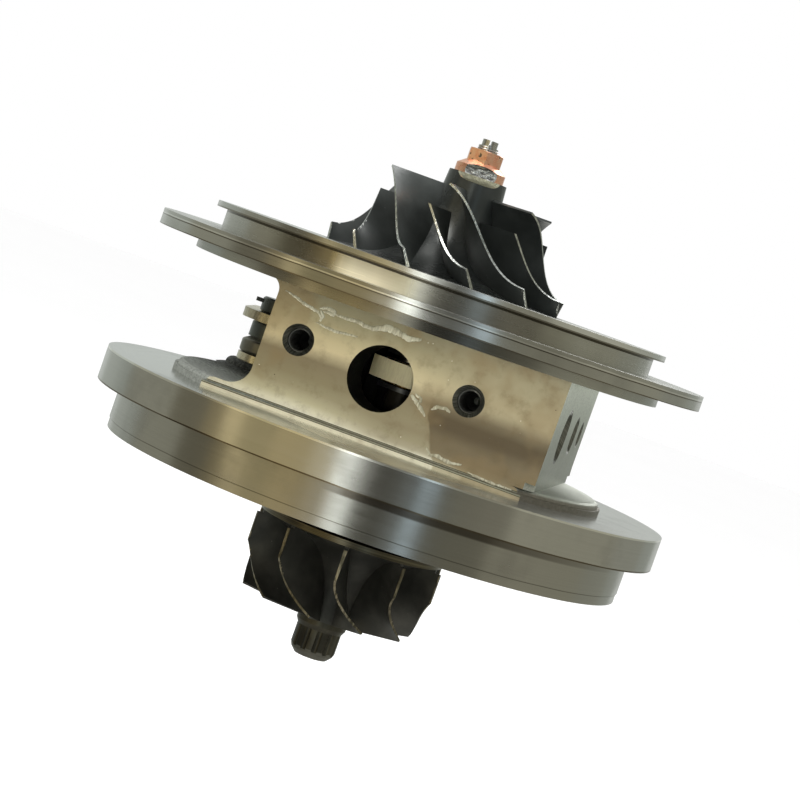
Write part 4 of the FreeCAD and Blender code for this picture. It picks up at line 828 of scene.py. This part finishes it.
def thread(name, mouth, inward, radius, pitch, length, material, body, inside=True, start=0.0):
    """Helical ridge on the wall of a tapped hole, or on a stud when inside is False."""
    inward = Vector(inward).normalized()
    side = inward.orthogonal().normalized()
    up = inward.cross(side)
    steps = 40
    depth = 0.54 * pitch
    rings = int(steps * (length / pitch))
    sign = -1.0 if inside else 1.0
    root = radius - sign * 0.06
    vertices = []
    for i in range(rings + 1):
        angle = 2 * math.pi * i / steps
        fade = min(1.0, i / (0.5 * steps), (rings - i) / (0.5 * steps))
        crest = radius + sign * depth * 0.8 * fade
        out = side * math.cos(angle) + up * math.sin(angle)
        base = Vector(mouth) + inward * (start + pitch * i / steps)
        for r, share in ((root, -0.44), (crest, -0.06), (crest, 0.06), (root, 0.44)):
            vertices.append(base + out * r + inward * (share * pitch))
    faces = []
    for i in range(rings):
        for j in range(4):
            k = (j + 1) % 4
            faces.append((4 * i + j, 4 * i + k, 4 * i + 4 + k, 4 * i + 4 + j))
    last = 4 * rings
    faces.append((3, 2, 1, 0))
    faces.append((last, last + 1, last + 2, last + 3))
    add_mesh(name, vertices, faces, material, body)


for i, (x, z) in enumerate(DRAIN_SCREWS):
    thread("drain_thread_%d" % i, (x, DRAIN_FACE_Y, z), (0, 1, 0), SCREW_CORE, 1.0, 10.5, hole_steel,
           "housing", start=1.5)
for i, (y, core, pitch, length) in enumerate(FEED_HOLES):
    thread("feed_thread_%d" % i, (FEED_FACE_X, y, FEED_Z), (-1, 0, 0), core, pitch, length, hole_steel,
           "housing", start=1.6)
thread("shaft_thread", (0, 0, NUT_TOP), (0, 0, 1), STUD_CORE, 0.5, 0.85, shaft_steel, "rotor",
       inside=False, start=0.15)


def bead(name, path, width, seed):
    """Wrinkled ridge of dried oil on the drain face, along points given as x and z."""
    rand = random.Random(seed)
    step, across, lift = 0.35, 6, 0.13
    points = []
    for (x0, z0), (x1, z1) in zip(path, path[1:]):
        count = max(2, int(math.hypot(x1 - x0, z1 - z0) / step))
        points += [(x0 + (x1 - x0) * i / count, z0 + (z1 - z0) * i / count) for i in range(count)]
    points.append(path[-1])
    vertices = []
    for i, (x, z) in enumerate(points):
        x0, z0 = points[max(i - 1, 0)]
        x1, z1 = points[min(i + 1, len(points) - 1)]
        run = math.hypot(x1 - x0, z1 - z0) or 1.0
        nx, nz = -(z1 - z0) / run, (x1 - x0) / run
        share = i / (len(points) - 1.0)
        taper = math.sin(math.pi * min(max(share, 0.02), 0.98)) ** 0.4
        half = 0.5 * width * taper * (0.75 + 0.5 * rand.random())
        high = lift * taper * (0.7 + 0.6 * rand.random())
        sway = 0.12 * (rand.random() - 0.5)
        for j in range(across + 1):
            angle = math.pi * j / across
            off = half * math.cos(angle) + sway
            vertices.append((x + nx * off, DRAIN_FACE_Y + 0.02 - high * math.sin(angle), z + nz * off))
    ring = across + 1
    faces = []
    for i in range(len(points) - 1):
        k = i * ring
        faces += [(k + j, k + j + 1, k + j + ring + 1, k + j + ring) for j in range(across)]
        faces.append((k + across, k, k + ring, k + ring + across))
    last = (len(points) - 1) * ring
    faces.append(tuple(range(across, -1, -1)))
    faces.append(tuple(range(last, last + ring)))
    add_mesh(name, vertices, faces, drip, "housing")


# Beads of dried oil: a path of x and z, and a width
BEADS = (
    ([(-25.0, 31.9), (-23.0, 31.4), (-20.0, 30.5), (-17.0, 29.9), (-15.7, 28.9), (-15.8, 28.1)], 0.675),
    ([(-16.6, 27.8), (-14.7, 27.5), (-12.3, 27.3), (-9.8, 27.6), (-7.3, 27.8)], 0.6),
    ([(-16.9, 30.7), (-15.4, 31.3), (-13.6, 31.1), (-13.8, 30.5), (-16.0, 30.4)], 0.9),
    ([(-13.5, 30.6), (-10.6, 30.6), (-8.1, 30.8), (-6.5, 30.4), (-3.8, 30.8), (-2.2, 30.9)], 0.825),
    ([(-7.2, 30.4), (-4.9, 30.5), (-1.9, 31.7), (0.4, 31.5), (2.9, 31.0), (5.5, 31.7)], 1.425),
    ([(-16.2, 28.2), (-15.6, 29.4), (-16.6, 30.5)], 0.75),
    ([(7.3, 20.3), (8.4, 19.5), (10.0, 18.4), (11.5, 17.0)], 1.05),
    ([(8.0, 20.8), (9.4, 20.2), (9.7, 19.3)], 0.75),
    ([(12.2, 18.8), (13.4, 19.8), (15.2, 20.0), (16.2, 19.6)], 0.9),
    ([(13.9, 11.2), (15.0, 9.9), (16.6, 10.2), (18.2, 9.9), (19.8, 9.8), (22.0, 10.2)], 0.825),
    ([(23.5, 9.2), (26.5, 8.9), (30.0, 8.8), (33.5, 8.9)], 0.6))
BEAD_SEED = 40
for i, (path, width) in enumerate(BEADS):
    bead("dried_oil_%d" % i, path, width, BEAD_SEED + i)


def add_object(name, data):
    thing = bpy.data.objects.new(name, data)
    bpy.context.collection.objects.link(thing)
    return thing


def pale_floor():
    mesh = bpy.data.meshes.new("floor")
    corners = ((-1, -1), (1, -1), (1, 1), (-1, 1))
    mesh.from_pydata([(FLOOR_HALF * x, FLOOR_HALF * y, FLOOR_Z) for x, y in corners], [], [(0, 1, 2, 3)])
    g = Graph("pale_floor")
    shade = g.mix(g.noise(g.place, 3.0, 2.0), (0.97, 0.97, 0.97), (0.99, 0.99, 0.99))
    mesh.materials.append(g.finish(shade, 0.8, 0.0))
    floor = add_object("floor", mesh)
    floor.visible_glossy = False


def mirrored_card(name, colour, patches):
    """Glowing card that only mirrors see; its corners hold a reach, an angle from the camera and a height."""
    vertices = []
    for patch in patches:
        for reach, angle, z in patch:
            a = math.radians(CAMERA_AZIMUTH + angle)
            vertices.append((reach * math.sin(a), -reach * math.cos(a), z))
    size = len(patches[0])
    mesh = bpy.data.meshes.new(name)
    mesh.from_pydata(vertices, [], [tuple(range(size * k, size * k + size)) for k in range(len(patches))])
    g = Graph(name)
    emission = g.tree.nodes.new("ShaderNodeEmission")
    emission.inputs["Color"].default_value = (*colour, 1.0)
    link(g.tree, emission.outputs[0], g.output.inputs[0])
    mesh.materials.append(g.material)
    card = add_object(name, mesh)
    card.visible_camera = False
    card.visible_diffuse = False
    card.visible_shadow = False
    card.visible_transmission = False
    card.visible_volume_scatter = False


def mirrored_room():
    """Drum of cards round the part, closed above and below, with one bright window in its ceiling."""
    # Brightness of the room as the turned rims mirror it, by azimuth from the camera
    bands = (
        (-180, -152, (0.58, 0.61, 0.58)), (-152, -136, (0.45, 0.48, 0.44)), (-136, -120, (0.43, 0.46, 0.42)),
        (-120, -88, (0.335, 0.335, 0.275)), (-88, -70, (0.16, 0.15, 0.11)), (-70, -62, (0.26, 0.22, 0.13)),
        (-62, -54, (0.68, 0.58, 0.34)), (-54, -40, (0.37, 0.32, 0.18)), (-40, -24, (0.48, 0.40, 0.22)),
        (-24, -14, (0.62, 0.55, 0.37)), (-14, -5, (1.75, 1.82, 1.72)), (-5, 10, (0.13, 0.13, 0.11)),
        (10, 18, (0.17, 0.175, 0.16)), (18, 25, (0.58, 0.70, 0.76)), (25, 56, (0.195, 0.19, 0.15)),
        (56, 112, (0.33, 0.325, 0.26)), (112, 136, (0.32, 0.325, 0.275)), (136, 152, (0.35, 0.37, 0.33)),
        (152, 180, (0.56, 0.58, 0.55)))
    radius, low, high = ROOM_RADIUS, -ROOM_HALF_HEIGHT, ROOM_HALF_HEIGHT
    cards = []
    for start, end, colour in bands:
        steps = max(1, int((end - start) / CARD_STEP))
        corners = [(start + (end - start) * k / steps) for k in range(steps + 1)]
        cards.append((colour, [[(radius, a, low), (radius, a, high), (radius, b, high), (radius, b, low)]
                               for a, b in zip(corners, corners[1:])]))
    turn = 360.0 / ROOM_SIDES
    for z, colour in ((high, (0.62, 0.63, 0.62)), (low, (0.40, 0.39, 0.36))):
        cards.append((colour, [[(0.0, 0.0, z), (radius, k * turn, z), (radius, k * turn + turn, z)]
                               for k in range(ROOM_SIDES)]))
    window = [(0.5, a, high - 0.01) for a in (-150, -120, -90)]
    window += [(1.7, a, high - 0.01) for a in (-90, -120, -150)]
    cards.append(((1.6, 1.6, 1.55), [window]))
    for i, (colour, patches) in enumerate(cards):
        mirrored_card("card_%02d" % i, colour, patches)


def add_lamp(name, kind, place, aim, power, colour, glossy):
    lamp = bpy.data.lights.new(name, kind)
    lamp.energy = power
    lamp.color = colour
    thing = add_object(name, lamp)
    thing.location = place
    thing.rotation_euler = (Vector(aim) - Vector(place)).to_track_quat("-Z", "Y").to_euler()
    thing.visible_glossy = glossy
    return thing


def studio():
    """White surroundings, plain floor, soft lights and the room that the bright metal mirrors."""
    scene = bpy.context.scene
    scene.view_settings.view_transform = "Standard"
    world = bpy.data.worlds.new("pale_room")
    world.use_nodes = True
    background = world.node_tree.nodes["Background"]
    background.inputs["Color"].default_value = (1.0, 1.0, 1.0, 1.0)
    background.inputs["Strength"].default_value = 1.0
    scene.world = world
    pale_floor()
    mirrored_room()
    for name, place, aim, size, power, colour, glossy in (
            ("key", (-0.7, -0.9, 1.3), (0, 0, 0.03), 0.7, 14.0, (1.0, 0.98, 0.95), True),
            ("fill", (1.2, -0.7, 0.6), (0, 0, 0.02), 0.9, 10.0, (0.95, 0.98, 1.0), False),
            ("back", (0.3, 1.3, 1.1), (0, 0, 0.02), 0.9, 10.0, (1.0, 1.0, 1.0), True)):
        thing = add_lamp(name, "AREA", place, aim, power, colour, glossy)
        thing.data.shape = "SQUARE"
        thing.data.size = size
        thing.visible_camera = False

    # Narrow beam that reaches the land behind the drain
    land = Vector((0.0, -BARREL_RADIUS, DRAIN_Z)) * MM
    beam = add_lamp("drain_lamp", "SPOT", DRAIN_LAMP, land, 6.0, (1.0, 0.97, 0.88), False)
    beam.data.shadow_soft_size = 0.01
    beam.data.spot_size = math.radians(1.6)
    beam.data.spot_blend = 0.3


def camera():
    """Camera at the place, heading and roll of the photograph's."""
    data = bpy.data.cameras.new("camera")
    data.sensor_width = 36.0
    data.lens = CAMERA_LENS
    data.clip_start = 0.05
    data.clip_end = 50.0
    thing = add_object("camera", data)
    heading = Vector((*CAMERA_HEADING, 0.0)).normalized()
    down = math.radians(CAMERA_DOWN)
    forward = heading * math.cos(down) - Vector((0, 0, 1)) * math.sin(down)
    right = forward.cross(Vector((0, 0, 1))).normalized()
    up = right.cross(forward)
    roll = math.radians(CAMERA_ROLL)
    rolled_right = right * math.cos(roll) + up * math.sin(roll)
    rolled_up = up * math.cos(roll) - right * math.sin(roll)
    turn = Matrix((rolled_right, rolled_up, -forward)).transposed().to_4x4()
    thing.matrix_world = Matrix.Translation(Vector(CAMERA_PLACE) * MM) @ turn
    bpy.context.scene.camera = thing


studio()
camera()
